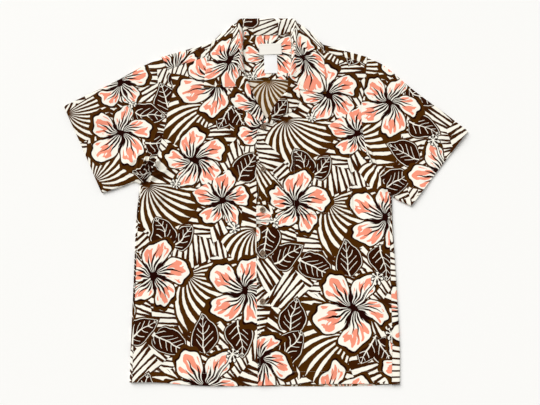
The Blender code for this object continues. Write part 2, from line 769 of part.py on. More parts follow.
def make_collar(material):
    """Stand, roll and fall in one wall: a U round the neck, folded flat behind it and arched beside it."""
    sections = collar_sections()
    rows = len(sections) - 1

    def middle(column, row):
        section = sections[row]
        over = section.over
        foot = Vector((section.foot_x, section.foot_y))
        roll = Vector((section.roll_x, section.roll_y))
        edge = Vector((section.edge_x, section.edge_y))
        stand = (roll - foot).normalized()
        fall = (edge - roll).normalized()
        if column <= 3:
            t = column / 3
            spot = foot.lerp(roll, mix(t, t**2.2, over))
            height = mix(t**0.8, math.sin(t * math.pi / 2), over)
            return Vector((spot.x, spot.y, mix(COLLAR_FOOT_Z, section.roll_z, height)))
        away = -1.0 if roll.x < COLLAR_BACK.roll_x else 1.0
        turning = math.sin(over * math.pi)
        bulge = Vector((-fall.y * away, fall.x * away)) * turning * COLLAR_TURN_BULGE
        if column == 4:
            spot = roll + (stand * 6.0).lerp(fall * 4.5, over) + bulge * 0.5
            return Vector((spot.x, spot.y, mix(4.6, section.roll_z - 0.8, over)))
        start = roll + stand.lerp(fall * 12.0, over) + bulge
        t = (column - 5) / (COLLAR_COLUMNS - 5)
        if row in (0, rows):
            notch = COLLAR_NOTCH["right" if row == 0 else "left"]
            spot = bent(start, notch, edge, t, (NOTCH_COLUMN - 5) / (COLLAR_COLUMNS - 5))
        else:
            belly = bulge * math.sin(t * math.pi) * COLLAR_TURN_BELLY / COLLAR_TURN_BULGE
            spot = start.lerp(edge, t) + belly - bulge * t
        z = mix(mix(CLOTH / 2, section.roll_z - 2.8, over), section.edge_z, t ** mix(1.0, 0.6, over))
        if over == 1.0:
            z = max(z, front_top(spot.x, spot.y) + RESTING_GAP + CLOTH / 2)
        return Vector((spot.x, spot.y, z))

    def place(column, row, face):
        return offset_point(middle, column, row, face, COLLAR_COLUMNS, rows)

    cloth_wall("collar", COLLAR_COLUMNS, rows, place, material)


# Trims.


def make_label(label, material):
    columns, rows = 3, 3
    turn = Matrix.Rotation(math.radians(label.turn_deg), 3, "Z")

    def place(column, row, face):
        flat = Vector((label.width * (column / columns - 0.5), label.length * (row / rows - 0.5), 0.0))
        spot = turn @ flat + Vector((label.x, label.y, 0.0))
        spot.z = LAYER + CLOTH + GAP + face * LABEL_CLOTH
        return spot

    cloth_wall(label.name, columns, rows, place, material)


def make_button(number, button, material):
    """A turned disc with a dished face and four holes."""
    shape = bmesh.new()
    profile = [shape.verts.new((radius, 0.0, height)) for radius, height in BUTTON_PROFILE]
    edges = [shape.edges.new(pair) for pair in zip(profile, profile[1:])]
    bmesh.ops.spin(
        shape,
        geom=profile + edges,
        cent=(0.0, 0.0, 0.0),
        axis=(0.0, 0.0, 1.0),
        angle=math.tau,
        steps=BUTTON_SIDES,
        use_merge=True,
    )
    bmesh.ops.remove_doubles(shape, verts=shape.verts, dist=0.001)
    rest_z = front_top(button.x, button.y) + front_lift("left", button.x, button.y) + GAP
    spot = Vector((button.x, button.y, rest_z))
    placed = Matrix.Translation(spot) @ Matrix.Rotation(math.radians(button.turn_deg), 4, "Z")
    bmesh.ops.transform(shape, verts=shape.verts, matrix=placed)
    disc = add_object(f"button_{number}", shape, material)
    cutter_shape = bmesh.new()
    for quarter in range(4):
        angle = math.radians(45 + 90 * quarter)
        hole = Vector((math.cos(angle), math.sin(angle), 0.0)) * BUTTON_HOLE_OFFSET * math.sqrt(2)
        bmesh.ops.create_cone(
            cutter_shape,
            cap_ends=True,
            segments=BUTTON_HOLE_SIDES,
            radius1=BUTTON_HOLE_RADIUS,
            radius2=BUTTON_HOLE_RADIUS,
            depth=8.0,
            matrix=placed @ Matrix.Translation(hole),
        )
    cutter = add_object(f"button_{number}_holes", cutter_shape, material)
    cutter.hide_render = True
    cutter.display_type = "WIRE"
    drill = disc.modifiers.new("holes", "BOOLEAN")
    drill.operation = "DIFFERENCE"
    drill.solver = "EXACT"
    drill.object = cutter


def main():
    for obj in list(bpy.data.objects):
        bpy.data.objects.remove(obj)
    printed = new_material("printed_cotton", PRINT_COLOUR, 0.85)
    wrong_side = new_material("printed_cotton_back", WRONG_SIDE_COLOUR, 0.88)
    label_tape = new_material("label_tape", LABEL_COLOUR, 0.7)
    coconut = new_material("button_shell", BUTTON_COLOUR, 0.45)
    make_back(wrong_side)
    make_yoke_outer(printed)
    make_yoke_inner(printed)
    for side in ("right", "left"):
        make_front(side, printed)
        make_lapel(side, printed)
        make_sleeve(side, printed)
    make_collar(printed)
    make_pocket(printed)
    for label in LABELS:
        make_label(label, label_tape)
    for number, button in enumerate(BUTTONS, 1):
        make_button(number, button, coconut)


main()
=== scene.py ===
# %% [markdown]
# # A printed camp-collar shirt, laid flat
#
# This lesson dresses a plain CAD shirt: fine cloth with folds, hems and stitches replaces each
# panel, and one procedural print runs over all of them. Left and right are the wearer's, so left is
# +X. Tables and the functions that read them are in millimetres, and the last step of each mesh
# turns them into metres.

import json
import math
from bisect import bisect_right
from collections import namedtuple
from functools import lru_cache, partialmethod

import bmesh
import bpy
import numpy as np
from mathutils import Matrix, Vector, noise
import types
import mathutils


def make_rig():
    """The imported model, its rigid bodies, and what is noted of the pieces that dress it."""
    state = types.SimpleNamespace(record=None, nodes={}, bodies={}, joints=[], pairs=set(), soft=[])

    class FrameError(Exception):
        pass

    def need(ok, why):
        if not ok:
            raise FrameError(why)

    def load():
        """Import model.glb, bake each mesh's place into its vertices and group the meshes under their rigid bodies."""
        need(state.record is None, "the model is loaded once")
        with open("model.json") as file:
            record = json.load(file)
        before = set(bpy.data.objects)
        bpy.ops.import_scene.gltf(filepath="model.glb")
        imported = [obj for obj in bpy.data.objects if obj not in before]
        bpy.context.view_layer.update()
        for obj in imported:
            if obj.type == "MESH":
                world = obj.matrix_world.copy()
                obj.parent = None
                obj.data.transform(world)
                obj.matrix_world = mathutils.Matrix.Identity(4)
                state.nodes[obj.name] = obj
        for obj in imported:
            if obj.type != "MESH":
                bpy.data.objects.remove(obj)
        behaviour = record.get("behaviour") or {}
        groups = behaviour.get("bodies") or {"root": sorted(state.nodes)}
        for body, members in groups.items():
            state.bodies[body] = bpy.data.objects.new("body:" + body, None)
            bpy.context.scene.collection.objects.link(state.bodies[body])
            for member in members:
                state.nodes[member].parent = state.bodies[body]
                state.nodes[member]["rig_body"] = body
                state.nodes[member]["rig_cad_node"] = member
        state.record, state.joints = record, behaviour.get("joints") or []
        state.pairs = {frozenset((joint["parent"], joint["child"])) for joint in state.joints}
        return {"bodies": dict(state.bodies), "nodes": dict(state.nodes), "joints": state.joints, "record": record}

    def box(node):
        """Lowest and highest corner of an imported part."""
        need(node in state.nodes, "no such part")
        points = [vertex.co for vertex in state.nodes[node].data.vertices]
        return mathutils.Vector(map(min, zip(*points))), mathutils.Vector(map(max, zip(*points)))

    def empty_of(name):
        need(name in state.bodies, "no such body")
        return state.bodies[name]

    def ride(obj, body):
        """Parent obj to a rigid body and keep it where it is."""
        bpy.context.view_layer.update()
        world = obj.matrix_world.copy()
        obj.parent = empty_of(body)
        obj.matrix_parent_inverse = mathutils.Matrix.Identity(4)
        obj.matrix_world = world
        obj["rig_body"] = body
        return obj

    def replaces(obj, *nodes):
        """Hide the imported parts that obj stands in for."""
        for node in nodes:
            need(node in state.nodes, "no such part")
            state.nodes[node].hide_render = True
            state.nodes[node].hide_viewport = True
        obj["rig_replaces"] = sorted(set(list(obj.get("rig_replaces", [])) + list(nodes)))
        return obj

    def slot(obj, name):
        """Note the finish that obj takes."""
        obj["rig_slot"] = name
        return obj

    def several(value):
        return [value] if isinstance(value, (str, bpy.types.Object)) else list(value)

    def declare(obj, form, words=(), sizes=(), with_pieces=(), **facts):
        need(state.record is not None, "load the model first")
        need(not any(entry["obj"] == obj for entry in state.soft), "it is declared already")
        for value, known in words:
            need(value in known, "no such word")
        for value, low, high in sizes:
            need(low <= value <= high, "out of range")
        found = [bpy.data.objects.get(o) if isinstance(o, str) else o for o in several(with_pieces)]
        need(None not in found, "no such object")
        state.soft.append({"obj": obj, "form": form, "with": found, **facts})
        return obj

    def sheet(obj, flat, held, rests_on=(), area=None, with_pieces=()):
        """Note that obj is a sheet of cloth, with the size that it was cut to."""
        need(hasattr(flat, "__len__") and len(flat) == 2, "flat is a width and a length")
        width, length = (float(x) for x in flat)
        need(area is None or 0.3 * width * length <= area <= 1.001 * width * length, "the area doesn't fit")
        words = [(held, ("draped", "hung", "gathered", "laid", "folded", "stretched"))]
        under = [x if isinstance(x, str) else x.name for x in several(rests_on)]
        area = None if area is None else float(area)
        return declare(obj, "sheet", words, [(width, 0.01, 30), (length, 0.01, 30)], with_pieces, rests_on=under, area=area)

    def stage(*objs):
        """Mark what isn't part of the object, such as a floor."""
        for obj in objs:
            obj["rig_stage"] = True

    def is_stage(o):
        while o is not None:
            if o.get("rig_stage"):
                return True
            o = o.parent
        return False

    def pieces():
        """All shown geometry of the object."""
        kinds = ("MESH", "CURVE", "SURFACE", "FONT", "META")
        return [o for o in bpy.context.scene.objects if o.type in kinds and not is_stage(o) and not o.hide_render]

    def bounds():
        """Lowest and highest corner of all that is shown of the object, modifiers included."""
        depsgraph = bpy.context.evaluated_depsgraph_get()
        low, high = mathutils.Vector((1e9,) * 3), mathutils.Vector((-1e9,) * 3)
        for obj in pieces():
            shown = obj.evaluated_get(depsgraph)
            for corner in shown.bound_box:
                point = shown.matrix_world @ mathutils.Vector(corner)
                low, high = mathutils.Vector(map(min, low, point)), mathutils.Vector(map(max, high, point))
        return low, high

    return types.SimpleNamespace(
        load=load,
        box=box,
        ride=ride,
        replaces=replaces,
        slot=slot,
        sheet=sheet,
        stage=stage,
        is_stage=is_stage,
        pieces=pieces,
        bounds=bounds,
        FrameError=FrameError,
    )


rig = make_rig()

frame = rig.load()
CAD_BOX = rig.bounds()
MM = 0.001
print("CAD box:", [[round(value, 4) for value in corner] for corner in CAD_BOX])

# %% [markdown]
# ## The lay of the shirt
#
# These sizes say where the folds, seams and edges run when the shirt lies on the floor. Each table
# row is a station, and `read` draws a smooth curve through a column. The collar's sections each
# give its foot, its roll and its edge, and `over` says how far the section is turned over, from 0
# (standing) to 1 (lying on the shirt).

# %% Tables
CLOTH = 1.2  # the CAD's wall: its upper face is where the visible cloth's upper face goes
SHEET = 0.8  # the visible cloth's own thickness
GAP = 0.3
LAYER = CLOTH + GAP
RESTING_GAP = 0.5
FOLD_RADIUS = 2.4
FOLD_FLAT = 22.0  # this near a fold the upper layer is as high as the fold
FOLD_FADE = 85.0  # and from here on it lies low
FOLD_CALM = (1.0, 10.0)  # creases grow over this distance from a fold
YOKE_SEAM_Y = 247.0
YOKE_RISE_Y = (175.0, 238.0)  # over this stretch the fronts rise onto the yokes
YOKE_RISE_X = (262.0, 202.0)
DEEPEST = (-0.8, -0.4)  # how far creases may sink, in the body and over the yokes
BODY_ROWS = 11  # seam stations from the hem to the underarm
ARMHOLE_ROWS = 10  # and on to the yoke seam
ARMHOLE_SPREAD = 1.15  # above 1 they lie closer together near the underarm
FRONT_ROWS = BODY_ROWS + ARMHOLE_ROWS + 1
HEM_Y = -400.0
SIDE_NAMES = ("right", "left")

Side = namedtuple("Side", "y fold seam")
SIDES = {
    "right": (
        Side(-400, -262.0, -256.0),
        Side(-330, -264.0, -258.5),
        Side(-200, -266.5, -261.5),
        Side(-70, -269.0, -264.5),
        Side(3, -266.0, -262.0),
    ),
    "left": (
        Side(-400, 264.5, 248.0),
        Side(-330, 268.5, 253.0),
        Side(-200, 269.0, 257.5),
        Side(-80, 268.5, 261.5),
        Side(-24, 270.0, 266.0),
    ),
}

Armhole = namedtuple("Armhole", "y x")
ARMHOLES = {
    "right": (
        Armhole(3, -262.0),
        Armhole(10, -252.5),
        Armhole(24, -242.0),
        Armhole(50, -234.6),
        Armhole(76, -230.3),
        Armhole(105, -224.8),
        Armhole(134, -219.3),
        Armhole(164, -215.4),
        Armhole(190, -212.5),
        Armhole(222, -206.5),
        Armhole(247, -208.5),
        Armhole(269, -218.5),
        Armhole(299, -235.0),
    ),
    "left": (
        Armhole(-24, 266.0),
        Armhole(-2, 257.5),
        Armhole(24, 245.2),
        Armhole(51, 231.0),
        Armhole(87, 219.9),
        Armhole(121, 215.1),
        Armhole(150, 213.5),
        Armhole(180, 213.5),
        Armhole(204, 218.0),
        Armhole(247, 225.5),
        Armhole(283, 230.5),
        Armhole(299, 232.5),
    ),
}

Shoulder = namedtuple("Shoulder", "neck_x neck_y arm_x arm_y seam_neck_y seam_arm_y")
SHOULDERS = {
    "right": Shoulder(-52.2, 359.5, -233.8, 301.8, 331.0, 269.0),
    "left": Shoulder(62.2, 355.0, 231.8, 301.5, 338.0, 283.0),
}
STRIP_NECK_X = {"right": -57.0, "left": 67.0}
NECK_SEAM_Y = 358.0

LAPEL_START_ROW, LAPEL_END_ROW = 4, 9
LAPEL_Y = {"right": (154.0, 243.0), "left": (142.0, 241.0)}
FrontEdge = namedtuple("FrontEdge", "y x")
FRONT_EDGES = {
    "right": (
        FrontEdge(-400, 10.0),
        FrontEdge(95, 10.0),
        FrontEdge(128, 9.0),
        FrontEdge(150, 1.5),
        FrontEdge(175, -11.5),
        FrontEdge(201, -24.5),
        FrontEdge(228, -36.0),
        FrontEdge(245, -41.5),
        FrontEdge(262, -52.2),
        FrontEdge(331, -52.2),
    ),
    "left": (
        FrontEdge(-400, -11.8),
        FrontEdge(-240, -14.7),
        FrontEdge(-50, -17.3),
        FrontEdge(95, -17.2),
        FrontEdge(122, -16.5),
        FrontEdge(141, -1.0),
        FrontEdge(158, 12.5),
        FrontEdge(180, 21.5),
        FrontEdge(200, 38.0),
        FrontEdge(222, 52.0),
        FrontEdge(245, 55.5),
        FrontEdge(264, 62.2),
        FrontEdge(338, 62.2),
    ),
}
OVERLAP_END = (56.0, 29.0)  # the left front rises onto the right one over this distance from its edge
OVERLAP_FADE_Y = (190.0, 152.0)  # and where the two part below the neck

SleeveStation = namedtuple("SleeveStation", "along top_x top_y under_x under_y")
SLEEVES = {
    "right": (
        SleeveStation(0.00, -236.0, 301.5, -264.0, 3.6),
        SleeveStation(0.20, -278.0, 279.0, -279.0, 9.0),
        SleeveStation(0.50, -338.0, 240.5, -303.0, -0.5),
        SleeveStation(0.80, -400.0, 206.5, -330.0, -10.5),
        SleeveStation(1.00, -445.2, 182.4, -345.3, -15.1),
    ),
    "left": (
        SleeveStation(0.00, 234.5, 301.5, 271.2, -22.8),
        SleeveStation(0.20, 270.5, 281.5, 280.0, -28.5),
        SleeveStation(0.50, 332.0, 221.5, 291.5, -34.5),
        SleeveStation(0.80, 397.5, 165.5, 302.5, -40.0),
        SleeveStation(1.00, 445.2, 123.9, 309.3, -43.1),
    ),
}

Section = namedtuple("Section", "foot_x foot_y roll_x roll_y roll_z over edge_x edge_y edge_z")
COLLAR_BACK = Section(5.0, 356.5, 5.0, 391.5, 8.6, 0.0, 5.0, 361.0, 0.6)
COLLAR_ENDS = {
    "right": (
        Section(-27.0, 356.5, -29.0, 391.5, 8.8, 0.0, -30.0, 361.0, 0.6),
        Section(-43.5, 356.0, -47.0, 391.5, 9.0, 0.0, -56.0, 361.5, 0.6),
        Section(-46.6, 355.4, -51.5, 391.3, 9.2, 0.0, -82.0, 352.7, 0.6),
        Section(-47.6, 354.4, -55.0, 390.8, 9.4, 0.0, -104.0, 345.5, 0.6),
        Section(-48.3, 353.2, -57.0, 389.8, 9.6, 0.15, -114.5, 342.5, 1.3),
        Section(-48.9, 351.8, -58.4, 388.2, 9.8, 0.5, -119.3, 341.2, 3.3),
        Section(-49.3, 350.2, -59.0, 386.0, 10.0, 0.85, -120.8, 338.6, 5.4),
        Section(-49.6, 347.6, -59.2, 382.6, 10.3, 1.0, -121.8, 334.5, 6.0),
        Section(-50.0, 328.0, -58.8, 356.0, 11.2, 1.0, -126.5, 313.0, 6.0),
        Section(-50.0, 302.0, -58.0, 320.0, 11.6, 1.0, -130.8, 287.0, 6.0),
        Section(-47.5, 278.0, -57.0, 288.0, 11.2, 1.0, -134.2, 258.0, 5.5),
        Section(-43.3, 261.0, -54.8, 266.0, 10.2, 1.0, -136.0, 239.0, 5.3),
        Section(-40.0, 251.0, -51.5, 252.0, 8.8, 1.0, -137.0, 224.8, 5.3),
    ),
    "left": (
        Section(37.0, 356.5, 39.0, 391.5, 8.8, 0.0, 41.0, 361.0, 0.6),
        Section(53.5, 355.0, 57.0, 391.5, 9.0, 0.0, 66.0, 359.5, 0.6),
        Section(56.6, 354.4, 61.5, 391.3, 9.2, 0.0, 91.0, 349.5, 0.6),
        Section(57.6, 353.4, 65.0, 390.8, 9.4, 0.0, 113.0, 342.2, 0.6),
        Section(58.3, 352.0, 67.0, 389.8, 9.6, 0.15, 123.5, 338.8, 1.3),
        Section(58.9, 350.6, 68.4, 388.2, 9.8, 0.5, 128.5, 337.0, 3.3),
        Section(59.3, 349.0, 69.0, 386.0, 10.0, 0.85, 130.2, 334.2, 5.4),
        Section(59.6, 346.4, 69.4, 382.4, 10.3, 1.0, 131.0, 330.0, 6.0),
        Section(60.0, 326.0, 69.6, 354.0, 11.2, 1.0, 132.8, 307.0, 6.0),
        Section(60.0, 300.0, 68.4, 317.0, 11.6, 1.0, 134.2, 280.0, 6.0),
        Section(57.3, 278.0, 64.5, 287.0, 11.2, 1.0, 135.4, 250.0, 5.5),
        Section(55.0, 263.0, 60.5, 266.5, 10.2, 1.0, 136.3, 227.0, 5.3),
        Section(52.0, 252.0, 57.0, 253.0, 8.8, 1.0, 137.0, 209.5, 5.3),
    ),
}
COLLAR_TURN_BULGE = 3.0
COLLAR_TURN_BELLY = 4.5
COLLAR_NOTCH = {"right": Vector((-68.0, 227.5)), "left": Vector((76.5, 222.5))}
COLLAR_NOTCH_AT = 2 / 7
COLLAR_FOOT_Z = 2 * LAYER + CLOTH / 2

LAPEL_EDGES = {
    "right": ((-13.0, 146.0), (-34.8, 165.8), (-79.5, 190.0), (-81.5, 221.5)),
    "left": ((15.5, 138.5), (41.0, 159.0), (73.5, 180.0), (77.5, 216.0)),
}
LAPEL_LOFT = 3.2

POCKET_X = (61.0, 186.0)
POCKET_Y = (-60.3, 84.9)
POCKET_CUT = 8.0

Label = namedtuple("Label", "name x y width length turn_deg")
LABELS = (
    Label("neck_label", 12.3, 321.0, 51.0, 27.5, 2.6),
    Label("care_label", 13.2, 283.5, 29.5, 45.0, 1.5),
)

Button = namedtuple("Button", "x y turn_deg")
BUTTONS = (
    Button(-2.4, 132.0, 20),
    Button(-2.8, 37.1, -8),
    Button(-4.0, -51.7, 34),
    Button(-2.9, -143.3, 12),
    Button(-3.1, -239.0, -25),
)

# The middle of the shirt's box in the tables' own coordinates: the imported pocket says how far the
# CAD was moved.
pocket_low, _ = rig.box("pocket")
LAY_CENTRE = Vector((POCKET_X[0] - pocket_low[0] / MM, POCKET_Y[0] - pocket_low[1] / MM, 0.0))
print("lay centre, mm:", [round(value, 2) for value in LAY_CENTRE])

# %% [markdown]
# ## Creases
#
# Pressed cotton is never quite flat. `RIDGES` are the large soft folds that the solids have too,
# and `CREASES` are finer ones, listed one by one: from one end to the other, with a half width
# and a height (a trough where it is below zero). They are uneven in length and depth, and they
# gather where sleeves are set in and where the hem relaxes.

# %% Creases
# The hem is not quite straight: this is how far it lies above HEM_Y. The fronts lie a little above
# the back.
HemSpot = namedtuple("HemSpot", "x rise front_rise")
HEM_SPOTS = (
    HemSpot(-266, 7.6, 0.0),
    HemSpot(-225, 8.2, 0.0),
    HemSpot(-180, 5.6, 0.0),
    HemSpot(-130, 2.0, 0.0),
    HemSpot(-90, 0.0, 0.6),
    HemSpot(-20, 0.0, 2.0),
    HemSpot(60, 0.0, 4.2),
    HemSpot(150, 0.0, 5.0),
    HemSpot(210, 1.6, 3.6),
    HemSpot(268, 4.6, 1.2),
)
HEM_RISE_FADE = 150.0

Crease = namedtuple("Crease", "x0 y0 x1 y1 half_width height")
RIDGES = (
    Crease(-282, 18, -196, 58, 15, 4.5),
    Crease(-272, -6, -206, -30, 14, 3.2),
    Crease(-300, 48, -228, 108, 17, 2.8),
    Crease(290, -18, 232, 40, 16, 3.4),
    Crease(262, -48, 205, -88, 16, 2.6),
    Crease(-236, -150, -214, -330, 22, 2.4),
    Crease(226, -190, 204, -372, 22, 2.2),
    Crease(-120, -300, -112, -392, 20, 1.8),
    Crease(118, -310, 130, -392, 22, 1.8),
    Crease(-392, 128, -330, 176, 16, 2.4),
    Crease(392, 84, 322, 140, 17, 2.6),
)
CREASES = (
    Crease(-264, -12, -241, 46, 2.3, 6.2),
    Crease(-244, 80, -245, 4, 2.3, 6.2),
    Crease(-249, -18, -230, 42, 2.1, 4.2),
    Crease(-231, 78, -232, 6, 2.1, 4.2),
    Crease(-296, 22, -262, 44, 3, 1.8),
    Crease(-288, 52, -248, 66, 4, 1.4),
    Crease(-258, 40, -214, 50, 4, 1.4),
    Crease(-250, 12, -190, 18, 5, -0.9),
    Crease(259, -18, 229, 54, 3.0, 4.6),
    Crease(233, 40, 212, 116, 3.0, 3.2),
    Crease(215, 88, 241, 16, 2.4, 5.0),
    Crease(222, 94, 250, 18, 2.2, 3.6),
    Crease(270, 0, 247, 40, 3, -1.2),
    Crease(-250, -20, -198, -52, 6, 1.0),
    Crease(-262, -60, -214, -96, 7, 0.8),
    Crease(-290, 30, -246, 84, 6, -1.0),
    Crease(-318, 22, -286, 92, 7, 1.0),
    Crease(-276, 150, -232, 214, 8, 0.8),
    Crease(-300, 196, -252, 240, 8, -0.7),
    Crease(-352, 40, -330, 118, 8, 0.9),
    Crease(-408, 150, -372, 168, 7, 0.8),
    Crease(-200, 150, -168, 232, 9, 0.8),
    Crease(-188, 262, -120, 290, 8, 0.6),
    Crease(-160, 196, -104, 150, 9, -0.6),
    Crease(-224, -190, -206, -290, 9, 0.9),
    Crease(-176, -210, -166, -330, 10, 0.8),
    Crease(-84, -250, -92, -390, 9, 0.9),
    Crease(-148, -340, -152, -400, 8, 0.9),
    Crease(-44, -330, -40, -400, 8, 0.8),
    Crease(-200, -352, -196, -400, 8, -0.8),
    Crease(-90, 60, -60, -20, 10, 0.6),
    Crease(-52, 96, -30, 126, 6, 0.9),
    Crease(-40, 10, -26, 60, 6, -0.7),
    Crease(-44, -90, -30, -50, 6, 0.7),
    Crease(24, 110, 48, 84, 7, 0.8),
    Crease(20, 16, 44, 50, 7, -0.7),
    Crease(18, -76, 46, -118, 8, 0.7),
    Crease(22, -166, 52, -206, 8, 0.8),
    Crease(268, -30, 222, -10, 5, 1.1),
    Crease(262, -64, 214, -62, 6, -0.9),
    Crease(256, -96, 210, -134, 7, 0.9),
    Crease(286, 0, 262, 70, 6, 1.0),
    Crease(302, -20, 296, 64, 7, -0.9),
    Crease(336, 0, 318, 66, 8, 0.8),
    Crease(296, 170, 254, 226, 8, 0.8),
    Crease(404, 100, 378, 122, 7, 0.8),
    Crease(206, 236, 176, 196, 9, 0.7),
    Crease(168, 284, 112, 262, 8, 0.6),
    Crease(214, -210, 198, -300, 9, 0.8),
    Crease(160, -262, 170, -396, 10, 0.8),
    Crease(64, -300, 60, -396, 9, 0.9),
    Crease(96, -356, 98, -400, 8, -0.8),
    Crease(210, -344, 214, -398, 8, 0.9),
    Crease(28, -350, 26, -400, 7, 0.7),
    Crease(120, 150, 96, 110, 9, 0.5),
)
# width and height of the cloth's own unevenness
CRUMPLE_SIZES = ((95.0, 0.70), (38.0, 0.40), (17.0, 0.16))

# Small pleats that spread from each underarm. The angle is from straight out of the shirt, turning
# upwards.
Pleat = namedtuple("Pleat", "angle_deg start end half_width height")
UNDERARM_PLEATS = {
    "right": (
        Pleat(136, 4, 56, 2.2, 2.8),
        Pleat(126, 14, 92, 2.5, 5.8),
        Pleat(117, 6, 74, 1.9, -1.8),
        Pleat(109, 3, 104, 2.8, 6.8),
        Pleat(101, 16, 70, 1.8, -1.8),
        Pleat(95, 5, 88, 2.3, 5.6),
        Pleat(86, 12, 66, 1.8, 2.2),
        Pleat(77, 4, 92, 2.8, 5.6),
        Pleat(66, 18, 60, 2.0, -1.4),
        Pleat(57, 6, 78, 2.5, 3.6),
        Pleat(43, 16, 58, 2.2, 1.3),
        Pleat(28, 10, 74, 3.0, 1.9),
        Pleat(12, 22, 60, 3.0, 1.0),
        Pleat(150, 9, 70, 2.8, 2.6),
        Pleat(163, 18, 54, 2.6, -0.9),
        Pleat(178, 8, 80, 3.6, 1.7),
        Pleat(196, 16, 56, 3.2, -0.7),
        Pleat(212, 10, 84, 4.4, 1.6),
        Pleat(238, 18, 90, 4.6, 1.0),
    ),
    "left": (
        Pleat(138, 8, 66, 2.6, 2.2),
        Pleat(124, 18, 52, 2.2, -0.9),
        Pleat(108, 10, 74, 2.4, 1.9),
        Pleat(90, 6, 80, 2.6, 2.6),
        Pleat(76, 16, 50, 2.2, -0.9),
        Pleat(60, 9, 74, 2.8, 1.9),
        Pleat(36, 14, 60, 3.0, 1.2),
        Pleat(158, 10, 76, 3.2, 1.7),
        Pleat(182, 18, 60, 3.6, -0.7),
        Pleat(203, 8, 88, 4.2, 1.6),
        Pleat(230, 18, 96, 4.6, 1.0),
    ),
}
TAKEN_UP = 2.6  # a standing fold takes in more cloth than its modelled height shows
TAKEN_UP_REACH = 4.0  # in widths of the fold
WANDER_SIZE = 42.0
WANDER_SEED = 7  # without it the creases would wander differently on each run
START_FADE = 4.0  # a crease is at its full height after a quarter of its length
BUTTON_CALM = (8.0, 20.0)  # near a button the cloth lies flat, and creases grow over this distance


def ease(value):
    """0 to 1 with soft ends."""
    value = min(max(value, 0.0), 1.0)
    return value * value * (3.0 - 2.0 * value)


def ramp(value, start, end):
    """0 at the start and 1 at the end, whichever is the larger, with soft ends."""
    return ease((value - start) / (end - start))


def mix(a, b, t):
    return a + (b - a) * t


def ripple(x, y, size, seed):
    """Smooth noise between -1 and 1, over features of this size."""
    return noise.noise(Vector((x / size, y / size, seed)))


def lifted(spot, z):
    """A point above a spot of the plan."""
    return Vector((spot.x, spot.y, z))


def read(rows, at, column):
    """One column of a table as a smooth curve over its first column, which rises from row to row."""
    keys = [row[0] for row in rows]
    values = [getattr(row, column) for row in rows]
    at = min(max(at, keys[0]), keys[-1])
    low = min(bisect_right(keys, at), len(keys) - 1) - 1
    step = keys[low + 1] - keys[low]
    t = (at - keys[low]) / step

    def slope(index):
        before = max(index - 1, 0)
        after = min(index + 1, len(keys) - 1)
        return (values[after] - values[before]) / (keys[after] - keys[before])

    rise = values[low + 1] - values[low]
    start = slope(low) * step
    end = slope(low + 1) * step
    return values[low] + t * (start + t * (3 * rise - 2 * start - end + t * (start + end - 2 * rise)))


def outward(side):
    return -1.0 if side == "right" else 1.0


def underarm_y(side):
    return SIDES[side][-1].y


def body_y(side, row):
    """The y of a seam station below the underarm."""
    return mix(HEM_Y, underarm_y(side), row / BODY_ROWS)


def armhole_point(side, y, offset):
    """A point of the armhole seam, moved towards the sleeve by the offset."""
    rows = ARMHOLES[side]
    here = Vector((read(rows, y, "x"), y))
    ahead = Vector((read(rows, y + 1.0, "x"), y + 1.0))
    behind = Vector((read(rows, y - 1.0, "x"), y - 1.0))
    run = (ahead - behind).normalized()
    return here + Vector((run.y, -run.x)) * outward(side) * offset


def armhole_y(side, station):
    """The y of a seam station up the armhole, whole or between two; above the yoke seam come the forward
    shoulder seam and the fold."""
    stations = (YOKE_SEAM_Y, SHOULDERS[side].seam_arm_y, SHOULDERS[side].arm_y - FOLD_RADIUS)
    if station <= ARMHOLE_ROWS:
        return mix(underarm_y(side), YOKE_SEAM_Y, (station / ARMHOLE_ROWS) ** ARMHOLE_SPREAD)
    above = min(station - ARMHOLE_ROWS, 2.0)
    low = min(int(above), 1)
    return mix(stations[low], stations[low + 1], above - low)


def shoulder_point(side, x, inset):
    """A point of the shoulder fold at this x, moved into the shirt by the inset."""
    fold = SHOULDERS[side]
    run = Vector((fold.arm_x - fold.neck_x, fold.arm_y - fold.neck_y))
    t = (x - fold.neck_x) / run.x
    across = Vector((run.y, -run.x)).normalized() * outward(side)
    return Vector((fold.neck_x, fold.neck_y)) + run * t + across * inset


def shoulder_seam_y(side, x):
    fold = SHOULDERS[side]
    arm_x = armhole_point(side, fold.seam_arm_y, 0.0).x
    return mix(fold.seam_neck_y, fold.seam_arm_y, (x - fold.neck_x) / (arm_x - fold.neck_x))


def segments(lines):
    """Pairs of ends as arrays: starts, runs and squared lengths."""
    starts = np.array([start for start, _ in lines])
    runs = np.array([end for _, end in lines]) - starts
    return starts, runs, (runs**2).sum(axis=1)


def fold_lines():
    """Every fold of the laid shirt in plan, as pairs of points."""
    lines = []
    for side, fold in SHOULDERS.items():
        lines.append(((fold.neck_x, fold.neck_y), (fold.arm_x, fold.arm_y)))
        for low, high in zip(SIDES[side], SIDES[side][1:]):
            lines.append(((low.fold, low.y), (high.fold, high.y)))
        for near, far in zip(SLEEVES[side], SLEEVES[side][1:]):
            lines.append(((near.top_x, near.top_y), (far.top_x, far.top_y)))
            lines.append(((near.under_x, near.under_y), (far.under_x, far.under_y)))
    return lines


def pleat_creases():
    """The underarm pleats as creases."""
    creases = []
    for side, pleats in UNDERARM_PLEATS.items():
        corner = Vector((ARMHOLES[side][0].x, ARMHOLES[side][0].y))
        for pleat in pleats:
            angle = math.radians(pleat.angle_deg)
            run = Vector((math.cos(angle) * outward(side), math.sin(angle)))
            start = corner + run * pleat.start
            end = corner + run * pleat.end
            creases.append(Crease(*start, *end, pleat.half_width, pleat.height))
    return tuple(creases)


